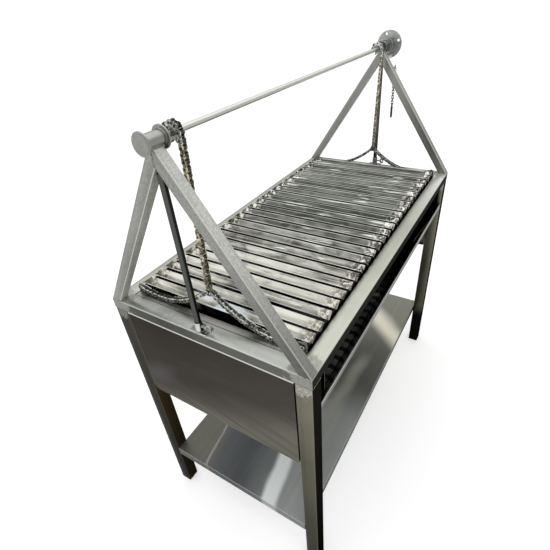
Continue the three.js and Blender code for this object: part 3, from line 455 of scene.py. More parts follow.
def panel_finish():
    """End panels: brushed across, deep brown-grey above with painted shade, paler along the lower edge with
    painted reflections, a faint painted gleam, and painted highlights along the top and rear edges.
    """
    finish = Finish("end_panel_steel", "panel_steel")
    base, rough, normal = brushed_metal(
        finish, linear("#44403c"), 0.34, "y", streak=0.06, band=0.1, cloud=0.25, marks=0.1,
    )
    _, across, height = finish.axes()
    lean = (height - PANEL_LOW.z) + across * PANEL_SLANT
    warped = lean + (finish.noise(finish.place, 4, 2, 0.5) - 0.5) * PANEL_WANDER
    bands = finish.noise(finish.grained(PANEL_BAND_LENGTHS, (0.25, 0, 0)), 1, 3, 0.5, 0.4)
    # Painted reflections: pale bands along the lower edge.
    reflected_bands = finish.fading(warped, *PANEL_REFLECTION) * finish.between(bands, 0.3, 0.6, 0.5, 1)
    base = finish.tinted(reflected_bands * 0.8, base, "#7d7b70")
    # Painted shade: darker higher up.
    base = finish.toned(finish.between(warped, *PANEL_SHADE), base, 0.72)
    # A painted reflection: a faint bluish gleam.
    gleam = finish.band(warped - PANEL_GLEAM_PLACE, 0, PANEL_GLEAM_REACH)
    gleam = gleam * finish.between(across, *PANEL_GLEAM_ACROSS)
    base = finish.tinted(gleam * 0.35, base, "#6f6d73")
    # Painted highlights along the top edge and the rear edge.
    base = finish.tinted(finish.between(height, *PANEL_TOP_HIGHLIGHT) * 0.9, base, "#dad9d2")
    base = finish.tinted(finish.between(across, *PANEL_SIDE_HIGHLIGHT) * 0.7, base, "#85847c")
    return finish.steel(base, rough, normal)


SHELF_WANDER = 30 * MM
# Painted shade and reflections: the sheet's tone across it, then towards its far end.
SHELF_SIDE_TONES = [
    (-50 * MM, 10 * MM, "#8b908f"), (0, 140 * MM, "#55585a"), (200 * MM, 260 * MM, "#66655c"),
]
SHELF_FAR_TONES = [(320 * MM, 550 * MM, 1, "#686a63"), (600 * MM, 1000 * MM, 0.8, "#8f8f82")]
# Painted reflections on the shelf: two sweeps, a ridge and a flare, at fixed places.
SWEEP_SLANT = 0.2
SWEEP_PLACE = 123 * MM
SWEEP_REACH = (14 * MM, 34 * MM)
SWEEP_END = (220 * MM, 420 * MM)
THIN_SWEEP_OFFSET = 245 * MM
THIN_SWEEP_REACH = (1 * MM, 6 * MM)
RIDGE_REFLECTION_SLANT = 0.03
RIDGE_REFLECTION_PLACE = 142 * MM
RIDGE_REFLECTION_REACH = (4 * MM, 34 * MM)
RIDGE_REFLECTION_START = (250 * MM, 400 * MM)
RIDGE_REFLECTION_END = (620 * MM, 740 * MM)
FLARE_PLACE = (290 * MM, -165 * MM)
FLARE_DIRECTION = (0.77, 0.64)
FLARE_REACH = (5 * MM, 70 * MM)
FLARE_FADE = (-140 * MM, -20 * MM)
SHELF_RIM_HIGHLIGHT = (SHELF_HIGH.z - 1.2 * MM, SHELF_HIGH.z - 0.7 * MM)


def shelf_tone(finish, from_end, offset):
    """The sheet's tone, painted shade and reflections, which changes from its open side to its closed side,
    then towards its far end.
    """
    tone = linear("#b4b8b6")
    for low, high, tint in SHELF_SIDE_TONES:
        tone = finish.blend(finish.between(offset, low, high), tone, linear(tint))
    for low, high, share, tint in SHELF_FAR_TONES:
        tone = finish.blend(finish.between(from_end, low, high) * share, tone, linear(tint))
    return tone


def shelf_finish():
    """The shelf: blue-grey sheet, with painted reflections in two sweeps, a ridge and a flare at fixed
    places, painted shade on its open and near edges, and a painted highlight on its rim.
    """
    finish = Finish("shelf_steel", "shelf_steel")
    brushing, rough, normal = brushed_metal(
        finish, grey(0.5), 0.34, "x", streak=0.06, band=0.08, cloud=0.15, marks=0.12,
    )
    along, across, height = finish.axes()
    from_end = along - SHELF_LOW.x
    wander = (finish.noise(finish.place, 6, 2, 0.5) - 0.5) * SHELF_WANDER
    offset = across - from_end * SWEEP_SLANT + wander + SWEEP_PLACE
    doubled = finish.add("ShaderNodeVectorMath", {"operation": "SCALE"}, {0: brushing, "Scale": 2})
    base = finish.stained(1, shelf_tone(finish, from_end, offset), doubled)
    # Painted reflections: two sweeps, a ridge and a flare.
    near = finish.fading(from_end, *SWEEP_END)
    sweep = finish.band(offset, *SWEEP_REACH) * near
    thin = finish.band(offset - THIN_SWEEP_OFFSET, *THIN_SWEEP_REACH) * near
    painted_sheen = finish.math("MAXIMUM", sweep, thin * 0.2)
    ridge_reflection = finish.band(across + from_end * RIDGE_REFLECTION_SLANT + wander * 1.5 + RIDGE_REFLECTION_PLACE, *RIDGE_REFLECTION_REACH)
    ridge_reflection = ridge_reflection * finish.between(from_end, *RIDGE_REFLECTION_START) * finish.fading(from_end, *RIDGE_REFLECTION_END)
    slant = (along - FLARE_PLACE[0]) * FLARE_DIRECTION[0] - (across - FLARE_PLACE[1]) * FLARE_DIRECTION[1]
    flare = finish.band(slant + wander, *FLARE_REACH) * finish.between(across, *FLARE_FADE, 1, 0.25)
    base = finish.tinted(ridge_reflection * 0.6, base, "#b9b9ad")
    base = finish.tinted(flare * 0.95, base, "#fffbe8")
    base = finish.tinted(painted_sheen * 0.95, base, "#f6fbfa")
    # Painted shade on the faces of the open side and of the near end.
    base = finish.toned(finish.side("Y", -1), base, 0.04)
    base = finish.toned(finish.side("X", -1), base, 0.4)
    # A painted highlight along the rim.
    rim = finish.corner(*AXES) * finish.between(height, *SHELF_RIM_HIGHLIGHT)
    base = finish.tinted(rim * 0.9, base, "#f2f4f2")
    return finish.steel(base, rough, normal, 0.4 - painted_sheen * 0.3)


LIP_LOW, LIP_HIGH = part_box("firebox_front_wall")
LIP_WIDTH = 6 * MM
STRIP_WIDTH = 20 * MM
RIM_DEPTH = 6 * MM
LIP_DEPTH = 3 * MM
SEAM_WIDTH = 2 * MM
EDGE_STEP = 1 * MM
# Pitch and slant of the painted reflections of the slats inside the firebox.
MIRRORED_PITCH = 40 * MM
MIRRORED_SLANT = 1.45
# Added before the remainder is taken, so that it is never negative
WHOLE_PITCHES = 50


def firebox_finish():
    """The firebox: bright steel, toned down on its outer faces, with dark painted shade inside and painted
    reflections of the slats above on it in bands, a pale strip at the rim, and a painted highlight on the
    front lip.
    """
    finish = Finish("firebox_steel", "firebox_steel")
    base, rough, normal = brushed_metal(
        finish, linear("#d6d5cf"), 0.16, "x", streak=0.1, band=0.12, cloud=0.25, marks=0.1,
    )
    along, across, height = finish.axes()
    from_middle = abs(along - FRAME_MIDDLE)
    strip_end = FRAME_HALF_LENGTH - LEG_SIDE
    strip_start = strip_end - STRIP_WIDTH
    lip_place = LIP_LOW.y + LIP_WIDTH
    rim = finish.between(height, FRAME_HEIGHT - RIM_DEPTH, FRAME_HEIGHT - RIM_DEPTH + EDGE_STEP)
    strip = finish.between(from_middle, strip_start, strip_start + EDGE_STEP) * rim
    seam = finish.between(from_middle, strip_end - SEAM_WIDTH, strip_end - SEAM_WIDTH + EDGE_STEP) * rim
    # A painted highlight: the front lip stays bright.
    lip = finish.between(height, LIP_HIGH.z - LIP_DEPTH, LIP_HIGH.z - LIP_DEPTH + EDGE_STEP)
    lip = lip * finish.fading(height, LIP_HIGH.z, LIP_HIGH.z + EDGE_STEP)
    lip = lip * finish.fading(across, lip_place, lip_place + 2 * EDGE_STEP)
    end_wall = finish.between(abs(finish.facing((1, 0, 0))), 0.4, 0.6)
    outward = finish.facing((1, 0, 0)) * finish.math("SIGN", along - FRAME_MIDDLE)
    outward = outward + finish.facing((0, 1, 0)) * finish.math("SIGN", across) - finish.facing((0, 0, 1))
    # Painted shade: the edge above the front lip is dark like the inside.
    slot_edge = finish.between(height, LIP_HIGH.z + EDGE_STEP, LIP_HIGH.z + 2 * EDGE_STEP)
    slot_edge = slot_edge * finish.fading(across, -MIDDLE_REACH, MIDDLE_REACH)
    outer_faces = finish.between(outward, -0.2, 0.2) * (1 - end_wall) * (1 - slot_edge)
    inside = (1 - outer_faces) * (1 - strip) * (1 - lip)
    # Painted shade inside, with painted reflections of the slats in bands and painted glints on them.
    ragged = finish.noise(finish.place, 60, 4, 0.6, 0.5)
    mirrored = along * (1 - end_wall) + across * end_wall * MIRRORED_SLANT
    cell = abs((mirrored / MIRRORED_PITCH + WHOLE_PITCHES) % 1 - 0.5)
    slat_reflections = finish.fading(cell + (ragged - 0.5) * 0.25, 0.24, 0.32) * (1 - rim)
    inside_shade_and_reflections = finish.blend(slat_reflections, grey(0.02), finish.blend(end_wall, grey(0.14), grey(0.6)))
    glints = finish.between(finish.noise(finish.place, 130, 3, 0.7), 0.66, 0.72) * slat_reflections
    inside_shade_and_reflections = finish.blend(glints, inside_shade_and_reflections, grey(0.7))
    base = finish.stained(inside, base, inside_shade_and_reflections)
    base = finish.toned(outer_faces * (1 - lip), base, 0.45)
    base = finish.toned(strip, base, 0.52)
    base = finish.toned(seam, base, 0.2)
    return finish.steel(base, rough + strip * 0.2, normal)


SLAT_BAND_LENGTHS = (9 * MM, 260 * MM, 9 * MM)
SLAT_CLOUD_LENGTHS = (40 * MM, 90 * MM, 40 * MM)
SLAT_GLINT_LENGTHS = (6 * MM, 300 * MM, 6 * MM)
SLAT_NEAR = (GRATE_LOW.x + 50 * MM, FRAME_MIDDLE + 50 * MM)
SLAT_RIM_HIGHLIGHT = (GRATE_HIGH.z - 2.5 * MM, GRATE_HIGH.z - 1 * MM)
SLAT_FOLD_SHADE = (GRATE_HIGH.z - 13 * MM, GRATE_HIGH.z - 7 * MM)
SLAT_TIP = (GRATE_HIGH.y - 45 * MM, GRATE_HIGH.y - 15 * MM)
SLAT_RELIEF = 0.5 * MM
PALE_PATCHES = [((-512 * MM, 52 * MM, 868 * MM), 18 * MM), ((-545 * MM, -30 * MM, 868 * MM), 30 * MM)]
PALE_PATCH_STRETCH = 2.2
PALE_PATCH_EDGE = 6 * MM
PALE_PATCH_WANDER = 30 * MM


def pale_patches(finish, clouds):
    """Pale patches painted at fixed places on the slats, where the photograph has bright reflections."""
    share = 0
    stretched = finish.grained((1, PALE_PATCH_STRETCH, 1))
    for (x, y, z), reach in PALE_PATCHES:
        away = finish.vector_math("DISTANCE", stretched, (x, y / PALE_PATCH_STRETCH, z), "Value")
        patch = finish.fading(away + (clouds - 0.5) * PALE_PATCH_WANDER, reach - PALE_PATCH_EDGE, reach)
        share = finish.math("MAXIMUM", patch, share)
    return share


def slat_finish():
    """Folded slats: streaked and paler near the near end, with painted glints, painted highlights on the
    edges, painted shade in the fold and underneath, painted reflections in pale patches, and scraped pale
    near the tips.
    """
    finish = Finish("slat_steel", "slat_steel")
    colour = linear("#53554f")
    tone = finish.add("ShaderNodeAttribute", {"attribute_name": "slat_tone"}, output="Fac")
    fine = finish.noise(finish.grained(GRAIN["y"]), 1, 3, 0.65)
    bands = finish.noise(finish.grained(SLAT_BAND_LENGTHS), 1, 3, 0.6, 0.6)
    clouds = finish.noise(finish.grained(SLAT_CLOUD_LENGTHS), 1, 4, 0.6, 1.2)
    glint_streaks = finish.noise(finish.grained(SLAT_GLINT_LENGTHS, (0, 0, 0.05)), 1, 3, 0.55, 0.5)
    along, across, height = finish.axes()
    near = finish.fading(along, *SLAT_NEAR)
    streaks = (fine - 0.5) * 0.3 + (bands - 0.5) * 0.8 + (clouds - 0.5) * 0.9 + tone
    base = finish.blend(finish.between(streaks, -0.28, 0.28), shade(colour, 0.42), shade(colour, 1.7))
    pale = finish.blend(finish.between(streaks, -0.24, 0.24), linear("#45423a"), linear("#f4f2e6"))
    base = finish.blend(near * 0.85, base, pale)
    # Painted glints: long thin bright streaks.
    base = finish.tinted(finish.between(glint_streaks, 0.6, 0.7) * 0.8, base, "#f2f4ee")
    # Painted shade in the fold and on the undersides.
    fold = finish.fading(height, *SLAT_FOLD_SHADE)
    under = finish.fading(finish.facing((0, 0, 1)), -0.3, 0.1)
    base = finish.toned(finish.math("MAXIMUM", under, fold * 0.4) * (0.6 + near * 0.4), base, 0.02)
    # Painted highlights along the top edges.
    base = finish.tinted(finish.between(height, *SLAT_RIM_HIGHLIGHT) * 0.5, base, "#e2e3de")
    tip = finish.between(abs(across), *SLAT_TIP)
    worked = finish.between(finish.noise(finish.place, 90, 5, 0.7, 0.5), 0.45, 0.58)
    base = finish.stained(tip * (1 - worked) * 0.65, base, linear("#6a5a44"))
    base = finish.tinted(tip * worked * 0.7, base, "#f4f2e8")
    # Painted reflections: pale patches at fixed places.
    patches = pale_patches(finish, clouds) * (1 - under)
    base = finish.tinted(patches * 0.9, base, "#f2fafe")
    rough = (clouds - 0.5) * 0.2 + 0.3 + tip * 0.1
    normal = finish.bump(fine * 0.3 + bands + worked * tip * 0.6, 0.2, SLAT_RELIEF)
    return finish.steel(base, rough, normal, 1 - patches * 0.8)


# Turned, cast and moulded finishes

# Painted light: lying bars are painted brightest above and below, upright ones towards the ends of the grill
BRIGHT_SIDE = {"x": Vector((0, 0, 1)), "z": Vector((1, 0, 0))}
PIECE_AXIS = {"x": Vector((1, 0, 0)), "z": Vector((0, 0, 1))}
RING_LENGTHS = (0.6 * MM, 40 * MM, 40 * MM)
RING_PITCH = 0.9 * MM
RING_DEPTH = 0.1 * MM


def turned_metal(name, slot, bright, dull, axis, centre=None, flat=0.4, roughness=0.3):
    """Turned bar and tube: fine rings, and painted highlights in bright lengthwise bands between duller
    ones, with a thin dark painted line along one bright band.
    """
    finish = Finish(name, slot)
    along, _, _ = finish.axes()
    rings = finish.noise(finish.grained(RING_LENGTHS), 1, 2, 0.6)
    if centre:
        radius = finish.vector_math("DISTANCE", finish.place, finish.vector(along, *centre), "Value")
        rings = finish.noise(finish.vector(radius / RING_PITCH, along / RING_PITCH), 1, 3, 0.6)
    smears = finish.noise(finish.place, 70, 4, 0.6, 0.4)
    bright_side = BRIGHT_SIDE[axis]
    aside = bright_side.cross(PIECE_AXIS[axis])
    # Painted light: bright bands where the surface looks along the lit side, and a thin dark painted line.
    lit = finish.between(abs(finish.facing(tuple(bright_side))), 0.2, 0.8)
    line = finish.between(finish.facing(tuple(bright_side * 0.94 + aside * 0.34)), 0.9, 0.97)
    ends = finish.between(abs(finish.facing(tuple(PIECE_AXIS[axis]))), 0.7, 0.9)
    share = finish.math("MAXIMUM", lit * (1 - line * 0.75), ends * flat)
    share = share + (rings - 0.5) * (ends * 0.5 + 0.3) + (smears - 0.5) * 0.4
    base = finish.blend(finish.between(share, 0, 1), linear(dull), linear(bright))
    return finish.steel(base, (smears - 0.5) * 0.2 + roughness, finish.bump(rings, 0.12, RING_DEPTH))


GRIT_DEPTH = 0.2 * MM


def dull_metal(name, slot, tint, roughness, grit=0.3, scale=160, spread=0.3):
    """Cast, cut or galvanised metal: mottled, slightly pitted and darker where it is handled."""
    finish = Finish(name, slot)
    colour = linear(tint)
    mottle = finish.noise(finish.place, scale, 5, 0.65, 0.3)
    clouds = finish.noise(finish.place, scale / 9, 3, 0.5)
    share = finish.between(mottle * 0.6 + clouds * 0.4, 0.5 - spread / 2, 0.5 + spread / 2)
    base = finish.blend(share, shade(colour, 0.6), shade(colour, 1.35))
    rough = (mottle - 0.5) * 0.2 + roughness
    normal = finish.bump(mottle, grit, GRIT_DEPTH)
    return finish.surface(base_color=base, metallic=1, roughness=rough, normal=normal)


SHEEN_CHAIN_DROP = 40 * MM
GRIME_DEPTH = 0.15 * MM


def chain_finish(name, slot, tint, dark_tint):
    """Link plates with oil in their corners and worn faces, and a painted highlight near the axle, where
    they are paler and silver.
    """
    finish = Finish(name, slot)
    grime = finish.noise(finish.place, 420, 4, 0.7, 0.6)
    film = finish.noise(finish.place, 60, 3, 0.6)
    share = finish.between(grime * 0.65 + film * 0.45, 0.46, 0.62)
    _, _, height = finish.axes()
    # A painted highlight: paler, silver plates near the axle.
    painted_sheen = finish.between(height, AXLE_HEIGHT - SHEEN_CHAIN_DROP, AXLE_HEIGHT)
    bright = finish.blend(painted_sheen, shade(linear(tint), 1.25), linear("#dcdfdc"))
    base = finish.blend(share, linear(dark_tint), bright)
    normal = finish.bump(grime, 0.2, GRIME_DEPTH)
    return finish.surface(base_color=base, metallic=1, roughness=0.5 - share * 0.22, normal=normal)


HEAT_TINTS = [(0.3, "#5b5a58"), (0.46, "#8d8a83"), (0.58, "#aba89f"), (0.72, "#94866c")]
BEAD_RELIEF = 0.3 * MM


def bead_finish():
    """Weld beads: dull silver with straw and blue heat colours."""
    finish = Finish("weld_steel", "brushed_steel")
    heat = finish.noise(finish.place, 130, 4, 0.6, 0.4)
    stops = [(place, linear(tint)) for place, tint in HEAT_TINTS]
    tinted = finish.add("ShaderNodeValToRGB", {"stops": stops}, {"Fac": heat})
    normal = finish.bump(heat, 0.3, BEAD_RELIEF)
    return finish.surface(base_color=tinted, metallic=1, roughness=heat * 0.3 + 0.25, normal=normal)


MOULDED_RELIEF = 0.12 * MM


def moulded_plastic(name, tint):
    """Black plastic: a fine moulded grain and paler worn places."""
    finish = Finish(name, "black_plastic")
    colour = linear(tint)
    grain = finish.noise(finish.place, 900, 2, 0.5)
    wear = finish.noise(finish.place, 45, 5, 0.6)
    base = finish.blend(finish.between(wear, 0.5, 0.75), colour, shade(colour, 2.2))
    normal = finish.bump(grain, 0.25, MOULDED_RELIEF)
    return finish.surface(base_color=base, roughness=wear * 0.25 + 0.4, normal=normal)


rail_along = rail_finish("rail_steel_lengthwise", "#c2c4b8", "x", 0.45, 0.045, cloud=0.25, marks=0.2)
rail_across = rail_finish("rail_steel_crosswise", "#9fa19c", "y", 0.3, 0.045, cloud=0.6, marks=0.6)
leg_steel = leg_finish()
post_steel = {"front": post_finish("front", 0.42, 1.6, 0), "rear": post_finish("rear", 1.05, 1.5, 0.6)}
panel_steel = panel_finish()
shelf_steel = shelf_finish()
firebox_steel = firebox_finish()
bar_steel = side_bar_steel()
strut_steel = turned_metal("strut_steel", "strut_steel", "#50524f", "#242525", "z")
axle_steel = turned_metal("axle_steel", "bright_steel", "#f2f5ee", "#b2b4ac", "x")
hub_steel = turned_metal("hub_steel", "galvanised", "#bcbdb8", "#82837e", "x", (0, AXLE_HEIGHT), 0.3)
socket_steel = turned_metal("socket_steel", "galvanised", "#c9cbc8", "#3a3b3a", "z")
slat_steel = slat_finish()
galvanised = dull_metal("galvanised_steel", "galvanised", "#a5a7a4", 0.34, scale=420, spread=0.5)
disc_steel = dull_metal("disc_steel", "galvanised", "#a6a9a6", 0.4)
sprocket_steel = dull_metal("sprocket_steel", "chain_steel", "#8b8c88", 0.36, grit=0.2)
bronze = dull_metal("bush_bronze", "bush_bronze", "#8a6a36", 0.5)
lug_steel = dull_metal("lug_steel", "slat_steel", "#6f706c", 0.4, grit=0.15)
yoke_steel = dull_metal("yoke_steel", "chain_steel", "#6d6d66", 0.38, grit=0.15)
strand_steel = chain_finish("lift_chain_steel", "lift_chain_steel", "#c6bfaa", "#221e17")
branch_steel = chain_finish("branch_chain_steel", "chain_steel", "#cdd0ca", "#2b2c2b")
roller_steel = dull_metal("chain_roller_steel", "chain_steel", "#47463f", 0.3, grit=0.1)
pin_steel = dull_metal("chain_pin_steel", "chain_steel", "#5a5848", 0.35, grit=0.1)
wire_steel = dull_metal("wire_steel", "bright_steel", "#8f918e", 0.3, grit=0.1)
link_steel = dull_metal("keeper_link_steel", "chain_steel", "#6a6b69", 0.3, grit=0.1)
lock_pin_steel = dull_metal("lock_pin_steel", "strut_steel", "#4a4c4d", 0.32, grit=0.1)
weld_steel = bead_finish()
grip_plastic = moulded_plastic("grip_plastic", "#1b1b1c")
plug_plastic = moulded_plastic("plug_plastic", "#131313")


# Meshes

def placed(name, mesh):
    """Links a mesh into the scene as a piece."""
    piece = bpy.data.objects.new(name, mesh)
    bpy.context.scene.collection.objects.link(piece)
    return piece


def dressed(piece, body, *materials, replaces=()):
    """Gives a finished piece its materials and body, and hides the CAD nodes that it stands for."""
    if materials:
        piece.data.materials.clear()
    for material in materials:
        piece.data.materials.append(material)
    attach(piece, body)
    if replaces:
        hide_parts(*replaces)


def baked(piece):
    """Applies a piece's modifiers by keeping the mesh that they give."""
    graph = bpy.context.evaluated_depsgraph_get()
    mesh = bpy.data.meshes.new_from_object(piece.evaluated_get(graph))
    piece.modifiers.clear()
    piece.data = mesh
    return piece


SMOOTH_ANGLE = math.radians(30)
WIRE_SMOOTH_ANGLE = math.radians(60)
EDGE_ANGLE = math.radians(32)
SAME_PLACE = 0.001 * MM
FLAT_ANGLE = math.radians(0.5)
TUBE_CORNER = 2 * MM
TUBE_CORNER_STEPS = 3
TUBE_CORNER_ANGLE = 1
SHORTEST_TUBE = 60 * MM
EASE_SHARE = 0.4
TURNED_EASE = 0.5 * MM
LARGE_ROUND = 96
ROUND = 56
SOCKET_ROUND = 48
TUBE_ROUND = 40
BAR_ROUND = 32
SMALL_ROUND = 24
WIRE_ROUND = 12


def from_bmesh(name, shape, smooth=SMOOTH_ANGLE):
    mesh = bpy.data.meshes.new(name)
    shape.to_mesh(mesh)
    shape.free()
    mesh.shade_smooth()
    mesh.set_sharp_from_angle(angle=smooth)
    return placed(name, mesh)


def rounded(piece, ease, steps=2):
    """Rounds a piece's sharp edges and keeps its flat faces flat."""
    rounding = piece.modifiers.new("rounded_edges", "BEVEL")
    rounding.width = ease
    rounding.segments = steps
    rounding.limit_method = "ANGLE"
    rounding.angle_limit = EDGE_ANGLE
    rounding.harden_normals = True
    piece.data.shade_smooth()
    return baked(piece)


def softened(node, ease, steps=2, tube=False):
    """A copy of a CAD node with its folds and cut edges rounded, and a tube's long corners rounded more."""
    shape = bmesh.new()
    shape.from_mesh(frame["nodes"][node].data)
    bmesh.ops.remove_doubles(shape, verts=shape.verts, dist=SAME_PLACE)
    bmesh.ops.dissolve_limit(shape, angle_limit=FLAT_ANGLE, verts=shape.verts, edges=shape.edges)
    if tube:
        corners = [
            edge for edge in shape.edges
            if edge.is_convex and edge.calc_length() > SHORTEST_TUBE
            and edge.calc_face_angle(0) > TUBE_CORNER_ANGLE
        ]
        bmesh.ops.bevel(
            shape, geom=corners, offset=TUBE_CORNER, offset_type="OFFSET", segments=TUBE_CORNER_STEPS,
            profile=0.5, affect="EDGES", clamp_overlap=True,
        )
    return rounded(from_bmesh(f"{node}_metal", shape), ease, steps)


def refined(node, ease, body, material, tube=False):
    """Dresses a softened copy of a CAD node in its place."""
    dressed(softened(node, ease, tube=tube), body, material, replaces=[node])


def middle_of(node):
    """The middle of a CAD node's box."""
    return [(low + high) / 2 for low, high in zip(*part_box(node))]


def arc(centre, radius, start, finish, steps):
    angles = [start + (finish - start) * k / steps for k in range(steps + 1)]
    return [(centre[0] + radius * math.cos(a), centre[1] + radius * math.sin(a)) for a in angles]


def circle(radius, centre=(0, 0), steps=BAR_ROUND):
    return arc(centre, radius, 0, FULL_TURN, steps)[:-1]


def rod(first, last, radius):
    """A solid bar's outline, as (place along the axis, radius) points."""
    return [(first, 0), (first, radius), (last, radius), (last, 0)]


def sleeve(first, last, bore, radius):
    """A tube's outline, closed on itself."""
    return [(first, bore), (first, radius), (last, radius), (last, bore), (first, bore)]


def eased(outline, ease):
    """Cuts each inner corner of an open outline back to two points."""
    softer = [outline[0]]
    for before, corner, after in zip(outline, outline[1:], outline[2:]):
        for other in (before, after):
            step = Vector(other) - Vector(corner)
            softer.append(tuple(Vector(corner) + step.normalized() * min(ease, step.length * EASE_SHARE)))
    softer.append(outline[-1])
    return softer


def turned(name, outline, centre, axis="x", segments=ROUND, ease=TURNED_EASE, closed=False):
    """A lathe-turned piece from (place along the axis, radius) points."""
    if ease:
        outline = eased(outline, ease)
    if closed:
        outline = outline[:-1]
    shape = bmesh.new()
    rings = []
    for along, radius in outline:
        if radius < SAME_PLACE:
            rings.append([shape.verts.new((along, 0, 0))])
            continue
        rings.append([shape.verts.new((along, u, v)) for u, v in circle(radius, steps=segments)])
    pairs = list(zip(rings, rings[1:]))
    if closed:
        pairs.append((rings[-1], rings[0]))
    for first, second in pairs:
        for k in range(segments):
            corners = [first[k % len(first)], first[(k + 1) % len(first)]]
            corners += [second[(k + 1) % len(second)], second[k % len(second)]]
            shape.faces.new(list(dict.fromkeys(corners)))
    bmesh.ops.recalc_face_normals(shape, faces=shape.faces)
    turn = {
        "x": Matrix.Identity(4),
        "y": Matrix.Rotation(QUARTER_TURN, 4, "Z"),
        "z": Matrix.Rotation(-QUARTER_TURN, 4, "Y"),
    }[axis]
    shape.transform(Matrix.Translation(centre) @ turn)
    return from_bmesh(name, shape)


# Where a plate's outline lies: drawn in (y, z), (x, z) or (x, y), with its thickness along the third axis
PLATE_TURNS = {
    "x": Matrix(((0, 0, 1, 0), (1, 0, 0, 0), (0, 1, 0, 0), (0, 0, 0, 1))),
    "y": Matrix(((1, 0, 0, 0), (0, 0, 1, 0), (0, 1, 0, 0), (0, 0, 0, 1))),
    "z": Matrix.Identity(4),
}


def plate(name, outline, low, high, axis="x", holes=(), ease=0.0, steps=2):
    """A flat plate with holes, between two places along an axis."""
    shape = bmesh.new()
    for loop in [outline, *holes]:
        corners = [shape.verts.new((u, v, low)) for u, v in loop]
        for k, corner in enumerate(corners):
            shape.edges.new((corner, corners[(k + 1) % len(corners)]))
    bmesh.ops.triangle_fill(shape, use_beauty=True, edges=shape.edges)
    flat = list(shape.faces)
    risen = bmesh.ops.extrude_face_region(shape, geom=flat)
    lifted = [part for part in risen["geom"] if isinstance(part, bmesh.types.BMVert)]
    bmesh.ops.translate(shape, verts=lifted, vec=(0, 0, high - low))
    shape.transform(PLATE_TURNS[axis])
    bmesh.ops.recalc_face_normals(shape, faces=shape.faces)
    piece = from_bmesh(name, shape)
    return rounded(piece, ease, steps) if ease else piece


def wire(name, points, radius, sides=WIRE_ROUND):
    """A ring of round wire through points, closed on itself."""
    shape = bmesh.new()
    count = len(points)
    middle = sum((Vector(point) for point in points), Vector()) / count
    rings = []
    for k, point in enumerate(points):
        along = (Vector(points[(k + 1) % count]) - Vector(points[k - 1])).normalized()
        side = (Vector(point) - middle).normalized()
        across = along.cross(side)
        angles = [FULL_TURN * j / sides for j in range(sides)]
        offsets = [side * math.cos(a) * radius + across * math.sin(a) * radius for a in angles]
        rings.append([shape.verts.new(Vector(point) + offset) for offset in offsets])
    for first, second in zip(rings, rings[1:] + rings[:1]):
        for j in range(sides):
            shape.faces.new((first[j], first[(j + 1) % sides], second[(j + 1) % sides], second[j]))
    bmesh.ops.recalc_face_normals(shape, faces=shape.faces)
    return from_bmesh(name, shape, WIRE_SMOOTH_ANGLE)


def merged(name, *pieces):
    """Several pieces joined as one."""
    with bpy.context.temp_override(active_object=pieces[0], selected_editable_objects=list(pieces)):
        bpy.ops.object.join()
    pieces[0].name = pieces[0].data.name = name
    return pieces[0]


def polylines(name, lines):
    """Open lines of points as one mesh of edges."""
    points, edges = [], []
    for line in lines:
        edges += [(len(points) + k, len(points) + k + 1) for k in range(len(line) - 1)]
        points += [tuple(point) for point in line]
    mesh = bpy.data.meshes.new(name)
    mesh.from_pydata(points, edges, [])
    return placed(name, mesh)


# What repeats: geometry trees with named inputs

class Growth(Graph):
    """A geometry tree with named inputs, whose result is kept as a plain mesh."""

    def __init__(self, name, **inputs):
        super().__init__(bpy.data.node_groups.new(name, "GeometryNodeTree"))
        face = self.tree.interface
        face.new_socket("Geometry", in_out="INPUT", socket_type="NodeSocketGeometry")
        face.new_socket("Geometry", in_out="OUTPUT", socket_type="NodeSocketGeometry")
        for label, kind in inputs.items():
            face.new_socket(label.replace("_", " "), in_out="INPUT", socket_type=f"NodeSocket{kind}")
        self.entry = self.tree.nodes.new("NodeGroupInput")
        self.exit = self.tree.nodes.new("NodeGroupOutput")

    def input(self, label):
        return Signal(self, self.entry.outputs[label])

    def position(self):
        return self.add("GeometryNodeInputPosition")

    def index(self):
        return self.add("GeometryNodeInputIndex")

    def halves(self, signal, reach):
        """-1 on one side of zero and 1 on the other, with an even change over a reach each way."""
        return self.add(
            "ShaderNodeMapRange", None,
            {"Value": signal, "From Min": reach * -1, "From Max": reach, "To Min": -1.0, "To Max": 1.0},
        )

    def either_way(self, label, seed, share=1):
        """A random number between an input's value, times a share, below zero and the same above."""
        limit = self.input(label) * share
        return self.random(limit * -1, limit, seed)

    def moved(self, geometry, shift=(0, 0, 0), turn=(0, 0, 0), scale=(1, 1, 1)):
        return self.add(
            "GeometryNodeTransform", None,
            {"Geometry": geometry, "Translation": shift, "Rotation": turn, "Scale": scale},
        )

    def random(self, low, high, seed, data_type="FLOAT"):
        return self.add(
            "FunctionNodeRandomValue", {"data_type": data_type},
            {"Min": low, "Max": high, "Seed": seed}, "Value",
        )

    def joined(self, *geometries):
        return self.add("GeometryNodeJoinGeometry", None, {0: list(geometries)})

    def scattered(self, points, instance, rotation=(0, 0, 0), scale=(1, 1, 1), where=True):
        sockets = {"Points": points, "Instance": instance, "Rotation": rotation, "Scale": scale}
        return self.add("GeometryNodeInstanceOnPoints", None, {**sockets, "Selection": where})

    def made(self, geometry, finish):
        """Real faces with their material, as the tree has to end."""
        real = self.add("GeometryNodeRealizeInstances", None, {0: geometry})
        return self.add("GeometryNodeSetMaterial", None, {"Geometry": real, "Material": finish})

    def finish(self, geometry):
        self.tree.links.new(geometry.socket, self.exit.inputs["Geometry"])

    def grow(self, piece, **values):
        """Runs the tree on a piece with these inputs and keeps the mesh."""
        modifier = piece.modifiers.new(self.tree.name, "NODES")
        modifier.node_group = self.tree
        for socket in self.tree.interface.items_tree:
            label = socket.name.replace(" ", "_")
            if socket.in_out == "INPUT" and label in values:
                modifier[socket.identifier] = values[label]
        materials = baked(piece).data.materials
        while None in list(materials):
            materials.pop(index=list(materials).index(None))
        return piece


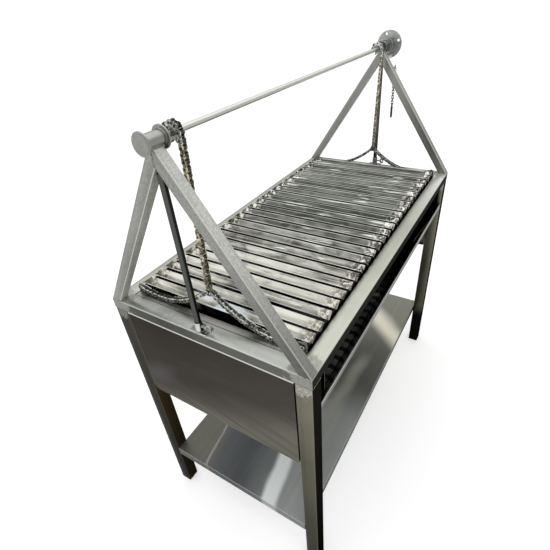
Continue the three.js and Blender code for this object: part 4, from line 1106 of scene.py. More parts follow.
ALONG_X = (0, QUARTER_TURN, 0)
PLATE_UPRIGHT = (QUARTER_TURN, 0, QUARTER_TURN)
PLATE_EASE_SHARE = 0.2
PLATE_MIDDLE_SHARE = 0.1
PLATE_FACE_SHARE = 0.93
PLATE_SIDES = 14
OUTER_HEIGHT_SHARE = 0.92
OUTER_GAP_SHARE = 1.04
ROLLER_GAP_SHARE = 0.05
ROLLER_SIDES = 14
PIN_HEAD_SHARE = 1.18
PIN_HEAD_INSET_SHARE = 0.16
PIN_SIDES = 10


def roller_chain():
    """Plates, rollers and pins on a line of joints across X, with plates in turn inside and outside."""
    tree = Growth(
        "roller_chain", **dict.fromkeys(CHAIN_SIZES, "Float"), First_Outer="Int", Open_First="Bool",
        Open_Last="Bool", Shared_First="Bool", Last_Joint="Int", Plate_Finish="Material",
        Roller_Finish="Material", Pin_Finish="Material",
    )
    joints = tree.input("Geometry")
    thickness = tree.input("Plate Thickness")
    half_width = tree.input("Inner Half Width")
    ease = thickness * PLATE_EASE_SHARE

    def link_plates(height, low):
        radius = height * 0.5
        disc = tree.add(
            "GeometryNodeMeshCircle", {"fill_type": "NGON"}, {"Vertices": PLATE_SIDES, "Radius": radius},
        )
        across, along, _ = tree.parts(tree.position())
        side = tree.halves(along, radius * PLATE_MIDDLE_SHARE)
        waist = 1 - (1 - abs(side)) * (1 - tree.input("Plate Waist Share"))
        drawn = tree.vector(across * waist, along + side * tree.input("Pitch") * 0.5)
        outline = tree.add("GeometryNodeSetPosition", None, {"Geometry": disc, "Position": drawn})
        wall = tree.add(
            "GeometryNodeExtrudeMesh", {"mode": "FACES"},
            {"Mesh": outline, "Offset Scale": thickness - ease},
        )
        rim = tree.add(
            "GeometryNodeExtrudeMesh", {"mode": "FACES"},
            {"Mesh": wall, "Selection": wall.beside("Top"), "Offset Scale": ease},
        )
        capped = tree.add(
            "GeometryNodeScaleElements", {"domain": "FACE"},
            {"Geometry": rim, "Selection": rim.beside("Top"), "Scale": PLATE_FACE_SHARE},
        )
        base = tree.add("GeometryNodeFlipFaces", None, {"Mesh": outline})
        closed = tree.add("GeometryNodeMergeByDistance", None, {"Geometry": tree.joined(capped, base)})
        upright = tree.moved(closed, turn=PLATE_UPRIGHT)
        right = tree.moved(upright, shift=tree.vector(low))
        return tree.joined(right, tree.moved(right, turn=(0, 0, math.pi)))

    def barrel(radius, half_length, vertices):
        rod = tree.add(
            "GeometryNodeMeshCylinder", {"fill_type": "NGON"},
            {"Vertices": vertices, "Radius": radius, "Depth": half_length * 2},
        )
        return tree.moved(rod, turn=ALONG_X)

    ends = tree.add("GeometryNodeInputMeshEdgeVertices", output="Position 1")
    direction = tree.vector_math("SUBTRACT", ends.beside("Position 2"), ends)
    held = tree.add(
        "GeometryNodeCaptureAttribute",
        {"domain": "EDGE", "captures": [("VECTOR", "Direction"), ("INT", "Link")]},
        {"Geometry": joints, "Direction": direction, "Link": tree.index()},
    )
    middles = tree.add("GeometryNodeMeshToPoints", {"mode": "EDGES"}, {"Mesh": held})
    _, sideways, upwards = tree.parts(held.beside("Direction"))
    lean = tree.vector(tree.math("ARCTAN2", sideways * -1, upwards))
    outer = (held.beside("Link") + tree.input("First Outer")) % 2
    inner_plates = link_plates(tree.input("Plate Height"), half_width)
    outer_plates = link_plates(
        tree.input("Plate Height") * OUTER_HEIGHT_SHARE, half_width + thickness * OUTER_GAP_SHARE,
    )
    links = tree.joined(
        tree.scattered(middles, inner_plates, lean, where=1 - outer),
        tree.scattered(middles, outer_plates, lean, where=outer),
    )
    place = tree.index()
    first = tree.math("LESS_THAN", place, 0.5)
    shared = first * tree.input("Shared First")
    at_first = first * tree.input("Open First")
    at_last = tree.math("GREATER_THAN", place, tree.input("Last Joint") - 0.5) * tree.input("Open Last")
    vertices = tree.add("GeometryNodeMeshToPoints", {"mode": "VERTICES"}, {"Mesh": joints})
    roller = barrel(tree.input("Roller Radius"), half_width - thickness * ROLLER_GAP_SHARE, ROLLER_SIDES)
    rollers = tree.scattered(vertices, roller, where=1 - at_first - at_last - shared)
    radius, reach = tree.input("Pin Radius"), tree.input("Pin Half Length")
    pin = tree.joined(
        barrel(radius, reach, PIN_SIDES),
        barrel(radius * PIN_HEAD_SHARE, reach - thickness * PIN_HEAD_INSET_SHARE, PIN_SIDES),
    )
    pins = tree.scattered(vertices, pin, where=1 - shared)
    tree.finish(tree.joined(
        tree.made(links, tree.input("Plate Finish")),
        tree.made(rollers, tree.input("Roller Finish")),
        tree.made(pins, tree.input("Pin Finish")),
    ))
    return tree


DROP_SEGMENTS = 8
DROP_RINGS = 5
DROP_SHARES = ((0.7, 0.7, 0.7), (1.15, 1.15, 1.15))
DROP_TURNS = ((0, 0, 0), (3, 3, 3))


def weld_bead():
    """Overlapping frozen drops along lines, each a little different."""
    tree = Growth(
        "weld_bead", Bead_Radius="Float", Bead_Spacing="Float", Wander="Float", Seed="Int",
        Finish="Material",
    )
    curve = tree.add("GeometryNodeMeshToCurve", None, {0: tree.input("Geometry")})
    steps = tree.add(
        "GeometryNodeResampleCurve", {"mode": "LENGTH"},
        {"Curve": curve, "Length": tree.input("Bead Spacing")},
    )
    points = tree.add("GeometryNodeCurveToPoints", {"mode": "EVALUATED"}, {"Curve": steps}, "Points")
    radius = tree.input("Bead Radius")
    drop = tree.add(
        "GeometryNodeMeshUVSphere", None, {"Segments": DROP_SEGMENTS, "Rings": DROP_RINGS, "Radius": radius},
    )
    smooth = tree.add("GeometryNodeSetShadeSmooth", None, {0: drop})
    wander = tree.input("Wander")
    seed = tree.input("Seed")
    low, high = tree.vector(*[wander * -1] * 3), tree.vector(*[wander] * 3)
    shift = tree.random(low, high, seed, "FLOAT_VECTOR")
    strayed = tree.add("GeometryNodeSetPosition", None, {"Geometry": points, "Offset": shift})
    size = tree.random(*DROP_SHARES, seed + 1, "FLOAT_VECTOR")
    turn = tree.random(*DROP_TURNS, seed + 2, "FLOAT_VECTOR")
    tree.finish(tree.made(tree.scattered(strayed, smooth, turn, size), tree.input("Finish")))
    return tree


SKEW_SHARE = 0.05


def slat_rack():
    """One slat repeated along X, each leaning and straying a little and with a tone of its own."""
    tree = Growth(
        "slat_rack", Slats="Int", Pitch="Float", First_Place="Float", Fold_Height="Float", Lean="Float",
        Stray="Float", Tone_Spread="Float", Seed="Int", Finish="Material",
    )
    height = tree.input("Fold Height")
    slat = tree.moved(tree.input("Geometry"), shift=tree.vector(0.0, 0.0, height * -1))
    start, step = tree.vector(tree.input("First Place"), 0.0, height), tree.vector(tree.input("Pitch"))
    row = tree.add(
        "GeometryNodeMeshLine", {"mode": "OFFSET"},
        {"Count": tree.input("Slats"), "Start Location": start, "Offset": step},
    )
    seed = tree.input("Seed")
    stray = tree.either_way("Stray", seed)
    lean = tree.either_way("Lean", seed + 1)
    skew = tree.either_way("Lean", seed + 2, SKEW_SHARE)
    tone = tree.either_way("Tone Spread", seed + 3)
    strayed = tree.add("GeometryNodeSetPosition", None, {"Geometry": row, "Offset": tree.vector(stray)})
    slats = tree.scattered(strayed, slat, tree.vector(0.0, lean, skew))
    toned = tree.add(
        "GeometryNodeStoreNamedAttribute", {"data_type": "FLOAT", "domain": "INSTANCE"},
        {"Geometry": slats, "Name": "slat_tone", "Value": tone},
    )
    tree.finish(tree.made(toned, tree.input("Finish")))
    return tree


OVAL_SIDES = 20
OVAL_MIDDLE_SHARE = 0.25
WIRE_SIDES = 8


def oval_chain():
    """Welded oval links hanging down from a point, each turned a quarter from the last."""
    tree = Growth(
        "oval_chain", Links="Int", Spacing="Float", Link_Radius="Float", Link_Stretch="Float",
        Wire_Radius="Float", Top="Vector", Finish="Material",
    )
    drop = tree.vector(0.0, 0.0, tree.input("Spacing") * -1)
    row = tree.add(
        "GeometryNodeMeshLine", {"mode": "OFFSET"},
        {"Count": tree.input("Links"), "Start Location": tree.input("Top"), "Offset": drop},
    )
    ring = tree.add(
        "GeometryNodeCurvePrimitiveCircle", {"mode": "RADIUS"},
        {"Resolution": OVAL_SIDES, "Radius": tree.input("Link Radius")},
    )
    wide, tall, _ = tree.parts(tree.position())
    side = tree.halves(tall, tree.input("Link Radius") * OVAL_MIDDLE_SHARE)
    drawn = tree.vector(0.0, wide, tall + side * tree.input("Link Stretch"))
    oval = tree.add("GeometryNodeSetPosition", None, {"Geometry": ring, "Position": drawn})
    section = tree.add(
        "GeometryNodeCurvePrimitiveCircle", {"mode": "RADIUS"},
        {"Resolution": WIRE_SIDES, "Radius": tree.input("Wire Radius")},
    )
    link = tree.add("GeometryNodeCurveToMesh", None, {"Curve": oval, "Profile Curve": section})
    smooth = tree.add("GeometryNodeSetShadeSmooth", None, {0: link})
    quarter = tree.vector(0.0, 0.0, (tree.index() % 2) * QUARTER_TURN)
    tree.finish(tree.made(tree.scattered(row, smooth, quarter), tree.input("Finish")))
    return tree


# Camera, fitted to the frame's corners, the feet and the axle in the photograph

LENS_PLACE = (FRAME_MIDDLE - 1002.7 * MM, -524.6 * MM, 1454.2 * MM)
CAMERA_DEGREES = (54.86317, 4.42192, -58.56155)
PHOTO_PIXELS = 550
FOCAL_PIXELS = 397.7

camera_data = bpy.data.cameras.new("photo_camera")
camera_data.lens = camera_data.sensor_width * FOCAL_PIXELS / PHOTO_PIXELS
camera = bpy.data.objects.new("photo_camera", camera_data)
camera.location = LENS_PLACE
camera.rotation_euler = [math.radians(degrees) for degrees in CAMERA_DEGREES]
bpy.context.scene.collection.objects.link(camera)
bpy.context.scene.camera = camera


# Sheet and tube: CAD shapes with rounded folds

RAIL_EASE = 0.3 * MM
LEG_EASE = 0.5 * MM
POST_EASE = 0.4 * MM
PLUG_EASE = 0.6 * MM
PANEL_EASE = 0.9 * MM
SHELF_EASE = 1.6 * MM
WALL_EASE = 0.6 * MM
FLOOR_EASE = 0.4 * MM
LEDGE_EASE = 0.5 * MM

refined("shelf", SHELF_EASE, "frame", shelf_steel)
refined("firebox_floor", FLOOR_EASE, "frame", firebox_steel)
for end in ENDS:
    refined(f"rail_{end}", RAIL_EASE, "frame", rail_across, tube=True)
    refined(f"end_panel_{end}", PANEL_EASE, "frame", panel_steel)
    refined(f"firebox_end_{end}", FLOOR_EASE, "frame", firebox_steel)
for flank in FLANKS:
    refined(f"rail_{flank}", RAIL_EASE, "frame", rail_along, tube=True)
    refined(f"firebox_{flank}_wall", WALL_EASE, "frame", firebox_steel)
    refined(f"grate_ledge_{flank}", LEDGE_EASE, "frame", firebox_steel)
for flank, end in CORNERS:
    refined(f"leg_{flank}_{end}", LEG_EASE, "frame", leg_steel, tube=True)
    refined(f"a_frame_post_{flank}_{end}", POST_EASE, "frame", post_steel[flank], tube=True)
    refined(f"foot_plug_{flank}_{end}", PLUG_EASE, "frame", plug_plastic)


# Grate: V slats closed at both ends, on two notched bars

SLAT_PITCH = 40 * MM
SLAT_HALF_WIDTH = 17 * MM
SLAT_DEPTH = 17.5 * MM
SLAT_SHEET = 2 * MM
SLAT_FOLD = 3 * MM
SLAT_TOP = FRAME_HEIGHT + 20 * MM
SLAT_BOTTOM = SLAT_TOP - SLAT_DEPTH
SLAT_SLOPE = math.atan2(SLAT_DEPTH, SLAT_HALF_WIDTH)
SLAT_HALF_LENGTH = GRATE_HIGH.y
SLAT_COUNT = 1 + round((GRATE_HIGH.x - GRATE_LOW.x - 2 * SLAT_HALF_WIDTH) / SLAT_PITCH)
FIRST_SLAT = FRAME_MIDDLE - (SLAT_COUNT - 1) / 2 * SLAT_PITCH
BAR_THICKNESS = 6 * MM
BAR_INSET = 4 * MM
BAR_HEIGHT = 13 * MM
BAR_TOP = GRATE_LOW.z + BAR_HEIGHT
SLAT_END_THICKNESS = 2 * MM
SLAT_END_DROP = 1.2 * MM
SLAT_EASE = 0.4 * MM
SLAT_END_EASE = 0.3 * MM
BAR_EASE = 0.4 * MM
FOLD_STEPS = 6
INNER_FOLD_STEPS = 4
SLAT_LEAN = math.radians(1.6)
SLAT_STRAY = 0.6 * MM


def slat_outline():
    """A folded slat's section in (x, z): its underside from left to right, then its upper side back."""
    cut = SLAT_SHEET * math.cos(SLAT_SLOPE)
    outer = (SLAT_HALF_WIDTH - cut / math.tan(SLAT_SLOPE), SLAT_TOP - cut)
    inner = (outer[0] - SLAT_SHEET * math.sin(SLAT_SLOPE), SLAT_TOP)
    fold = (0, SLAT_BOTTOM + SLAT_FOLD / math.cos(SLAT_SLOPE))
    left, right = -QUARTER_TURN - SLAT_SLOPE, -QUARTER_TURN + SLAT_SLOPE
    return [
        (-outer[0], outer[1]), *arc(fold, SLAT_FOLD, left, right, FOLD_STEPS), outer,
        inner, *arc(fold, SLAT_FOLD - SLAT_SHEET, right, left, INNER_FOLD_STEPS), (-inner[0], inner[1]),
    ]


def cross_plate(name, outline, sign, inset, thickness, ease):
    """A plate across a flank's end of the slats, drawn in (x, z)."""
    outer = sign * (SLAT_HALF_LENGTH - inset)
    inner = outer - sign * thickness
    return plate(name, outline, min(outer, inner), max(outer, inner), "y", ease=ease)


def slat():
    """One slat at x = 0, with a small plate welded into each end of its channel."""
    sheet = plate("slat_sheet", slat_outline(), -SLAT_HALF_LENGTH, SLAT_HALF_LENGTH, "y", ease=SLAT_EASE)
    top = SLAT_TOP - SLAT_END_DROP
    half = (top - SLAT_BOTTOM) / math.tan(SLAT_SLOPE) - SLAT_SHEET
    low = SLAT_BOTTOM + SLAT_SHEET
    closing = [(-half, top), (0, low), (half, top)]
    ends = [
        cross_plate("slat_end", closing, sign, SLAT_END_DROP, SLAT_END_THICKNESS, SLAT_END_EASE)
        for sign in FLANKS.values()
    ]
    return merged("grate_slats", sheet, *ends)


def notched_bar(flank, sign):
    """A side bar with a notch under each slat."""
    notch_half = (BAR_TOP - SLAT_BOTTOM) / math.tan(SLAT_SLOPE)
    outline = [(GRATE_LOW.x, GRATE_LOW.z), (GRATE_HIGH.x, GRATE_LOW.z), (GRATE_HIGH.x, BAR_TOP)]
    for k in reversed(range(SLAT_COUNT)):
        x = FIRST_SLAT + k * SLAT_PITCH
        outline += [(x + notch_half, BAR_TOP), (x, SLAT_BOTTOM), (x - notch_half, BAR_TOP)]
    outline.append((GRATE_LOW.x, BAR_TOP))
    return cross_plate(f"grate_side_bar_{flank}", outline, sign, BAR_INSET, BAR_THICKNESS, BAR_EASE)


slats = slat_rack().grow(
    slat(), Slats=SLAT_COUNT, Pitch=SLAT_PITCH, First_Place=FIRST_SLAT, Fold_Height=SLAT_BOTTOM,
    Lean=SLAT_LEAN, Stray=SLAT_STRAY, Tone_Spread=0.16, Seed=11, Finish=slat_steel,
)
dressed(slats, "grate", replaces=["grate_rack"])
for flank, sign in FLANKS.items():
    dressed(notched_bar(flank, sign), "grate", bar_steel)


# Roller chains, laid through the same joints as the CAD chains

CHAIN_PITCH = 12.7 * MM
CHAIN_SIZES = {
    "Pitch": CHAIN_PITCH, "Plate_Height": 11.8 * MM, "Plate_Waist_Share": 0.72, "Plate_Thickness": 1.5 * MM,
    "Inner_Half_Width": 3.875 * MM, "Roller_Radius": 4.25 * MM, "Pin_Radius": 2.2 * MM,
    "Pin_Half_Length": 7.5 * MM,
}
SPROCKET_TEETH = 8
SPROCKET_RADIUS = CHAIN_PITCH / (2 * math.sin(math.pi / SPROCKET_TEETH))
WRAP_LINKS = SPROCKET_TEETH // 2
STRAND_LINKS = 26
YOKE_DRIFT = 6 * MM
YOKE_HOLE_RISE = 15 * MM
YOKE_HOLE_SPREAD = 14.5 * MM
LUG_HOLE_RISE = 16.5 * MM
LUG_HOLE_INSET = 7.5 * MM
LUG_EASE = 0.5 * MM
YOKE_EASE = 0.6 * MM
SEARCH_STEPS = 60

strand_drift = SPROCKET_RADIUS - YOKE_DRIFT
strand_drop = math.sqrt((STRAND_LINKS * CHAIN_PITCH) ** 2 - strand_drift ** 2)
strand_foot = (-YOKE_DRIFT, AXLE_HEIGHT - strand_drop)
lift_height = next(joint for joint in frame["joints"] if joint["name"] == "grate_lift")["range_m"][1]


def hanging_joints(head, foot):
    """The joints of a slack chain in a catenary from head to foot, whose spread is searched for."""
    links = math.floor(math.dist(head, foot) / CHAIN_PITCH) + 1
    span, drop = abs(foot[0] - head[0]), foot[1] - head[1]
    target = math.sqrt((links * CHAIN_PITCH) ** 2 - drop ** 2) / span
    low, high = 0, 2 * math.pi
    for _ in range(SEARCH_STEPS):
        middle = (low + high) / 2
        if math.sinh(middle) / middle < target:
            low = middle
        else:
            high = middle
    spread = span / (2 * low)
    lowest = span / 2 - spread * math.asinh(drop / (2 * spread * math.sinh(low)))
    base = head[1] - spread * math.cosh(lowest / spread)
    start = spread * math.sinh(-lowest / spread)
    side = math.copysign(1, foot[0] - head[0])
    joints = []
    for k in range(links + 1):
        across = lowest + spread * math.asinh((start + k * CHAIN_PITCH) / spread)
        joints.append((head[0] + side * across, base + spread * math.cosh((across - lowest) / spread)))
    return joints


def chain(name, joints, x, finish, first_outer=0, open_first=False, open_last=False, shared_first=False):
    """One stretch of roller chain through joints in (y, z), at a place along X."""
    line = polylines(name, [[(x, y, z) for y, z in joints]])
    return chain_tree.grow(
        line, **CHAIN_SIZES, First_Outer=first_outer, Open_First=open_first, Open_Last=open_last,
        Shared_First=shared_first, Last_Joint=len(joints) - 1, Plate_Finish=finish,
        Roller_Finish=roller_steel, Pin_Finish=pin_steel,
    )


chain_tree = roller_chain()
wrap_joints = arc((0, AXLE_HEIGHT), SPROCKET_RADIUS, 0, math.pi, WRAP_LINKS)
strand_top = wrap_joints[-1]
strand_joints = [
    tuple(Vector(strand_top).lerp(Vector(strand_foot), k / STRAND_LINKS)) for k in range(STRAND_LINKS + 1)
]
for end in ENDS:
    chain_x = middle_of(f"yoke_{end}")[0]
    wrap = chain(f"lift_chain_wrap_{end}", wrap_joints, chain_x, strand_steel)
    dressed(wrap, "frame", replaces=[f"lift_chain_{end}"])
    strand = chain(
        f"lift_chain_strand_{end}", strand_joints, chain_x, strand_steel, open_last=True, shared_first=True,
    )
    dressed(strand, "frame", replaces=[f"lift_chain_{end}"])
    (strand_drop - lift_height) / strand_drop
    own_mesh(strand)
    refined(f"yoke_{end}", YOKE_EASE, "grate", yoke_steel)
    for flank, sign in FLANKS.items():
        head = (-YOKE_DRIFT + sign * YOKE_HOLE_SPREAD / 2, strand_foot[1] - YOKE_HOLE_RISE)
        foot = (sign * (SLAT_HALF_LENGTH - LUG_HOLE_INSET), FRAME_HEIGHT + LUG_HOLE_RISE)
        node = f"branch_chain_{flank}_{end}"
        branch = chain(
            f"{node}_links", hanging_joints(head, foot), chain_x, branch_steel,
            first_outer=1, open_first=True, open_last=True,
        )
        dressed(branch, "grate", replaces=[node])
        refined(f"grate_lug_{flank}_{end}", LUG_EASE, "grate", lug_steel)


# Lifting gear

HUB_FLANGE = 3 * MM
HUB_TUBE_RADIUS = 14 * MM
HUB_TUBE_BORE = 11.5 * MM
HUB_OPENING = 8.5 * MM
BUSH_BORE = 6.3 * MM
CAP_RIM = 3.2 * MM
CAP_RECESS = 0.7 * MM
CAP_CLEARANCE = 0.3 * MM
TOOTH_REACH = 3.2 * MM
TOOTH_TIP = 1.6 * MM
ROLLER_POCKET = 4.55 * MM
SPROCKET_HALF_THICKNESS = 3.5 * MM
SPROCKET_BOSS_RADIUS = 9 * MM
TOOTH_EASE = 0.5 * MM
POCKET_STEPS = 8
AXLE_EASE = 0.9 * MM


def inner_and_outer(node, sign):
    """A node's two places along X, the one nearer to the middle of the grill first."""
    low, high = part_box(node)
    return (low.x, high.x) if sign > 0 else (high.x, low.x)


def radius_of(node):
    """The radius of a round node that lies along X."""
    low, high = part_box(node)
    return (high.y - low.y) / 2


def hub(end, sign):
    """A tube with a flange at its inner end, and at its outer end too on the crank's side."""
    inner, outer = inner_and_outer(f"hub_{end}", sign)
    flange = radius_of(f"hub_{end}")
    outside = [(outer, HUB_TUBE_RADIUS), (outer, HUB_TUBE_BORE)]
    if sign > 0:
        shoulder = outer - HUB_FLANGE
        outside = [(shoulder, HUB_TUBE_RADIUS), (shoulder, flange), (outer, flange), (outer, HUB_TUBE_BORE)]
    step = inner + sign * HUB_FLANGE
    outline = [
        (inner, HUB_OPENING), (inner, flange), (step, flange), (step, HUB_TUBE_RADIUS), *outside,
        (step, HUB_TUBE_BORE), (step, HUB_OPENING), (inner, HUB_OPENING),
    ]
    return turned(f"hub_{end}_turned", outline, (0, 0, AXLE_HEIGHT), closed=True)


def bush(end, sign):
    """The bush in a hub that the axle turns in."""
    inner, outer = inner_and_outer(f"hub_bush_{end}", sign)
    radius = radius_of(f"hub_bush_{end}")
    outline = sleeve(inner, outer, BUSH_BORE, radius)
    return turned(f"hub_bush_{end}_turned", outline, (0, 0, AXLE_HEIGHT), closed=True)


def hub_cap():
    """The cap over the near hub: a plain face inside a raised rim."""
    low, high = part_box("hub_cap_left")
    radius = radius_of("hub_cap_left")
    face = low.x + CAP_RECESS
    back = low.x + HUB_FLANGE
    spigot = HUB_TUBE_BORE - CAP_CLEARANCE
    outline = [
        (face, 0), (face, radius - CAP_RIM), (low.x, radius - CAP_RIM + CAP_RECESS), (low.x, radius),
        (back, radius), (back, spigot), (high.x, spigot), (high.x, 0),
    ]
    return turned("hub_cap_left_turned", outline, (0, 0, AXLE_HEIGHT))


def sprocket(end, sign):
    """A plate with a round pocket under each roller and a blunt tooth between two pockets, and its boss."""
    middle = middle_of(f"yoke_{end}")[0]
    step = FULL_TURN / SPROCKET_TEETH
    tip_radius = SPROCKET_RADIUS + TOOTH_REACH
    tip_turn = TOOTH_TIP / 2 / tip_radius
    sweep = QUARTER_TURN - step / 4
    outline = []
    for tooth in range(SPROCKET_TEETH):
        angle = tooth * step
        centre = (SPROCKET_RADIUS * math.cos(angle), SPROCKET_RADIUS * math.sin(angle))
        inward = angle + math.pi
        outline += arc(centre, ROLLER_POCKET, inward + sweep, inward - sweep, POCKET_STEPS)
        outline += arc((0, 0), tip_radius, angle + step / 2 - tip_turn, angle + step / 2 + tip_turn, 1)
    teeth = plate(
        "teeth", [(y, z + AXLE_HEIGHT) for y, z in outline],
        middle - SPROCKET_HALF_THICKNESS, middle + SPROCKET_HALF_THICKNESS,
        holes=[circle(BUSH_BORE, (0, AXLE_HEIGHT))], ease=TOOTH_EASE,
    )
    boss_end = inner_and_outer(f"sprocket_{end}", sign)[0]
    outline = sleeve(middle, boss_end, BUSH_BORE, SPROCKET_BOSS_RADIUS)
    boss = turned("boss", outline, (0, 0, AXLE_HEIGHT), closed=True)
    return merged(f"sprocket_{end}_cut", teeth, boss)


def strut(end):
    """The straight round bar of a strut."""
    low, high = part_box(f"strut_{end}")
    outline = rod(low.z, high.z, (high.x - low.x) / 2)
    return turned(f"strut_{end}_bar", outline, (middle_of(f"strut_{end}")[0], 0, 0), "z", TUBE_ROUND)


SOCKET_PLATE = 3 * MM
SOCKET_TUBE_RADIUS = 9.25 * MM
SOCKET_BORE = 7.3 * MM
SOCKET_CORNER = 3 * MM
SOCKET_EASE = 0.5 * MM


def rounded_rectangle(low, high, radius, steps=4):
    corners = [(low[0], low[1], 2), (high[0], low[1], 3), (high[0], high[1], 0), (low[0], high[1], 1)]
    outline = []
    for u, v, turns in corners:
        centre = (
            u + radius if u == low[0] else u - radius,
            v + radius if v == low[1] else v - radius,
        )
        outline += arc(centre, radius, turns * QUARTER_TURN, (turns + 1) * QUARTER_TURN, steps)
    return outline


def socket(end):
    """A tube on a base plate, which holds the strut's foot."""
    low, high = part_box(f"strut_socket_{end}")
    top = low.z + SOCKET_PLATE
    foot = rounded_rectangle((low.x, low.y), (high.x, high.y), SOCKET_CORNER)
    base = plate("base", foot, low.z, top, "z", ease=SOCKET_EASE)
    outline = sleeve(top, high.z, SOCKET_BORE, SOCKET_TUBE_RADIUS)
    centre = (middle_of(f"strut_{end}")[0], 0, 0)
    tube = turned("tube", outline, centre, "z", SOCKET_ROUND, closed=True)
    return merged(f"strut_socket_{end}_welded", base, tube)


SCREW_RADIUS = 3 * MM
SCREW_LENGTH = 13 * MM
THREAD_PITCH = 1 * MM
THREAD_DEPTH = 0.55 * MM
THREAD_START_SHARE = 0.8
COLLAR_RADIUS = 5 * MM
COLLAR_LENGTH = 4 * MM
WING_HALF_THICKNESS = 1.5 * MM
WING_HOLE = 3 * MM
WING_CORNER = 5 * MM
WING_EASE = 0.8 * MM
COLLAR_EASE = 0.7 * MM


def thumb_screw(end):
    """A threaded shank, a collar and a flat wing with an eye, pointing along +Y."""
    low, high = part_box(f"thumb_screw_{end}")
    x, _, z = middle_of(f"thumb_screw_{end}")
    centre = (x, 0, z)
    tip = high.y
    threads = int(SCREW_LENGTH / THREAD_PITCH) - 2
    outline = [(tip, 0), (tip, SCREW_RADIUS - THREAD_DEPTH)]
    for k in range(threads):
        crest = tip - (k + THREAD_START_SHARE) * THREAD_PITCH
        root = crest - THREAD_PITCH / 2
        outline += [(crest, SCREW_RADIUS), (root, SCREW_RADIUS - THREAD_DEPTH)]
    collar = tip - SCREW_LENGTH
    back = collar - COLLAR_LENGTH
    outline += [(collar, SCREW_RADIUS - THREAD_DEPTH), (collar, 0)]
    shank = turned("shank", outline, centre, "y", SMALL_ROUND, ease=0)
    ring = turned("collar", rod(collar, back, COLLAR_RADIUS), centre, "y", BAR_ROUND, ease=COLLAR_EASE)
    root = back + COLLAR_LENGTH / 2
    wing = plate(
        "wing", rounded_rectangle((low.y, low.z), (root, high.z), WING_CORNER, 6),
        x - WING_HALF_THICKNESS, x + WING_HALF_THICKNESS,
        holes=[circle(WING_HOLE, ((low.y + root) / 2, z), SMALL_ROUND)], ease=WING_EASE, steps=3,
    )
    return merged(f"thumb_screw_{end}_cast", shank, ring, wing)


for end, sign in ENDS.items():
    dressed(hub(end, sign), "frame", hub_steel, replaces=[f"hub_{end}"])
    dressed(bush(end, sign), "frame", bronze, replaces=[f"hub_bush_{end}"])
    dressed(sprocket(end, sign), "axle", sprocket_steel, replaces=[f"sprocket_{end}"])
    dressed(strut(end), "frame", strut_steel, replaces=[f"strut_{end}"])
    dressed(socket(end), "frame", socket_steel, replaces=[f"strut_socket_{end}"])
    dressed(thumb_screw(end), f"thumb_screw_{end}", galvanised, replaces=[f"thumb_screw_{end}"])
dressed(hub_cap(), "frame", hub_steel, replaces=["hub_cap_left"])

axle_outline = rod(AXLE_LOW.x, AXLE_HIGH.x, AXLE_RADIUS)
axle = turned("axle_bar", axle_outline, (0, 0, AXLE_HEIGHT), ease=AXLE_EASE)
dressed(axle, "axle", axle_steel, replaces=["axle"])


# Index disc, lock boss, crank and grip

DISC_THICKNESS = 5 * MM
DISC_BOSS_RADIUS = 13 * MM
SPACER_RADIUS = 21 * MM
SPACER_THICKNESS = 4 * MM
INDEX_HOLES = 4
INDEX_CIRCLE = 35 * MM
INDEX_HOLE_RADIUS = 4.5 * MM
CRANK_THICKNESS = 5 * MM
CRANK_END_RADIUS = 10 * MM
BOLT_RADIUS = 4 * MM
BOLT_HEAD_LENGTH = 4 * MM
BOLT_HEAD_RADIUS = 6.5 * MM
GRIP_WAIST_SHARE = 0.82
GRIP_BORE = 4.4 * MM
GRIP_END_ROUND = 3 * MM
GRIP_STEPS = 24
DISC_EASE = 0.6 * MM
CRANK_EASE = 0.7 * MM
BOLT_EMBED = 1 * MM
BOLT_HEAD_EASE = 0.6 * MM
ROUND_END_STEPS = 16

boss_low, boss_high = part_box("lock_boss")
boss_centre = middle_of("lock_boss")[1:]
index_angle = math.atan2(boss_centre[1] - AXLE_HEIGHT, boss_centre[0])
disc_low, disc_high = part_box("index_disc")
grip_low, grip_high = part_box("crank_grip")
bolt_centre = middle_of("crank_grip")[1:]
crank_low, crank_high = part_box("crank_arm")


def index_disc():
    """A disc with four lock holes, the boss that carries it and a wide spacer at the boss's root."""
    face = disc_high.x - DISC_THICKNESS
    holes = [circle(BUSH_BORE, (0, AXLE_HEIGHT))]
    for k in range(INDEX_HOLES):
        angle = index_angle + FULL_TURN * k / INDEX_HOLES
        place = (INDEX_CIRCLE * math.cos(angle), AXLE_HEIGHT + INDEX_CIRCLE * math.sin(angle))
        holes.append(circle(INDEX_HOLE_RADIUS, place, SMALL_ROUND))
    rim = circle(radius_of("index_disc"), (0, AXLE_HEIGHT), LARGE_ROUND)
    disc = plate("disc", rim, face, disc_high.x, holes=holes, ease=DISC_EASE)
    spacer_end = disc_low.x + SPACER_THICKNESS
    outline = [
        (disc_low.x, BUSH_BORE), (disc_low.x, SPACER_RADIUS), (spacer_end, SPACER_RADIUS),
        (spacer_end, DISC_BOSS_RADIUS), (face, DISC_BOSS_RADIUS), (face, BUSH_BORE), (disc_low.x, BUSH_BORE),
    ]
    boss = turned("boss", outline, (0, 0, AXLE_HEIGHT), closed=True)
    return merged("index_disc_welded", disc, boss)


def lock_boss():
    """A tube on the post that takes the lock pin, closed at its foot."""
    radius = radius_of("lock_boss")
    floor = boss_low.x + HUB_FLANGE
    outline = [
        (boss_low.x, 0), (boss_low.x, radius), (boss_high.x, radius), (boss_high.x, INDEX_HOLE_RADIUS),
        (floor, INDEX_HOLE_RADIUS), (floor, 0),
    ]
    return turned("lock_boss_tube", outline, (0, *boss_centre), segments=TUBE_ROUND)


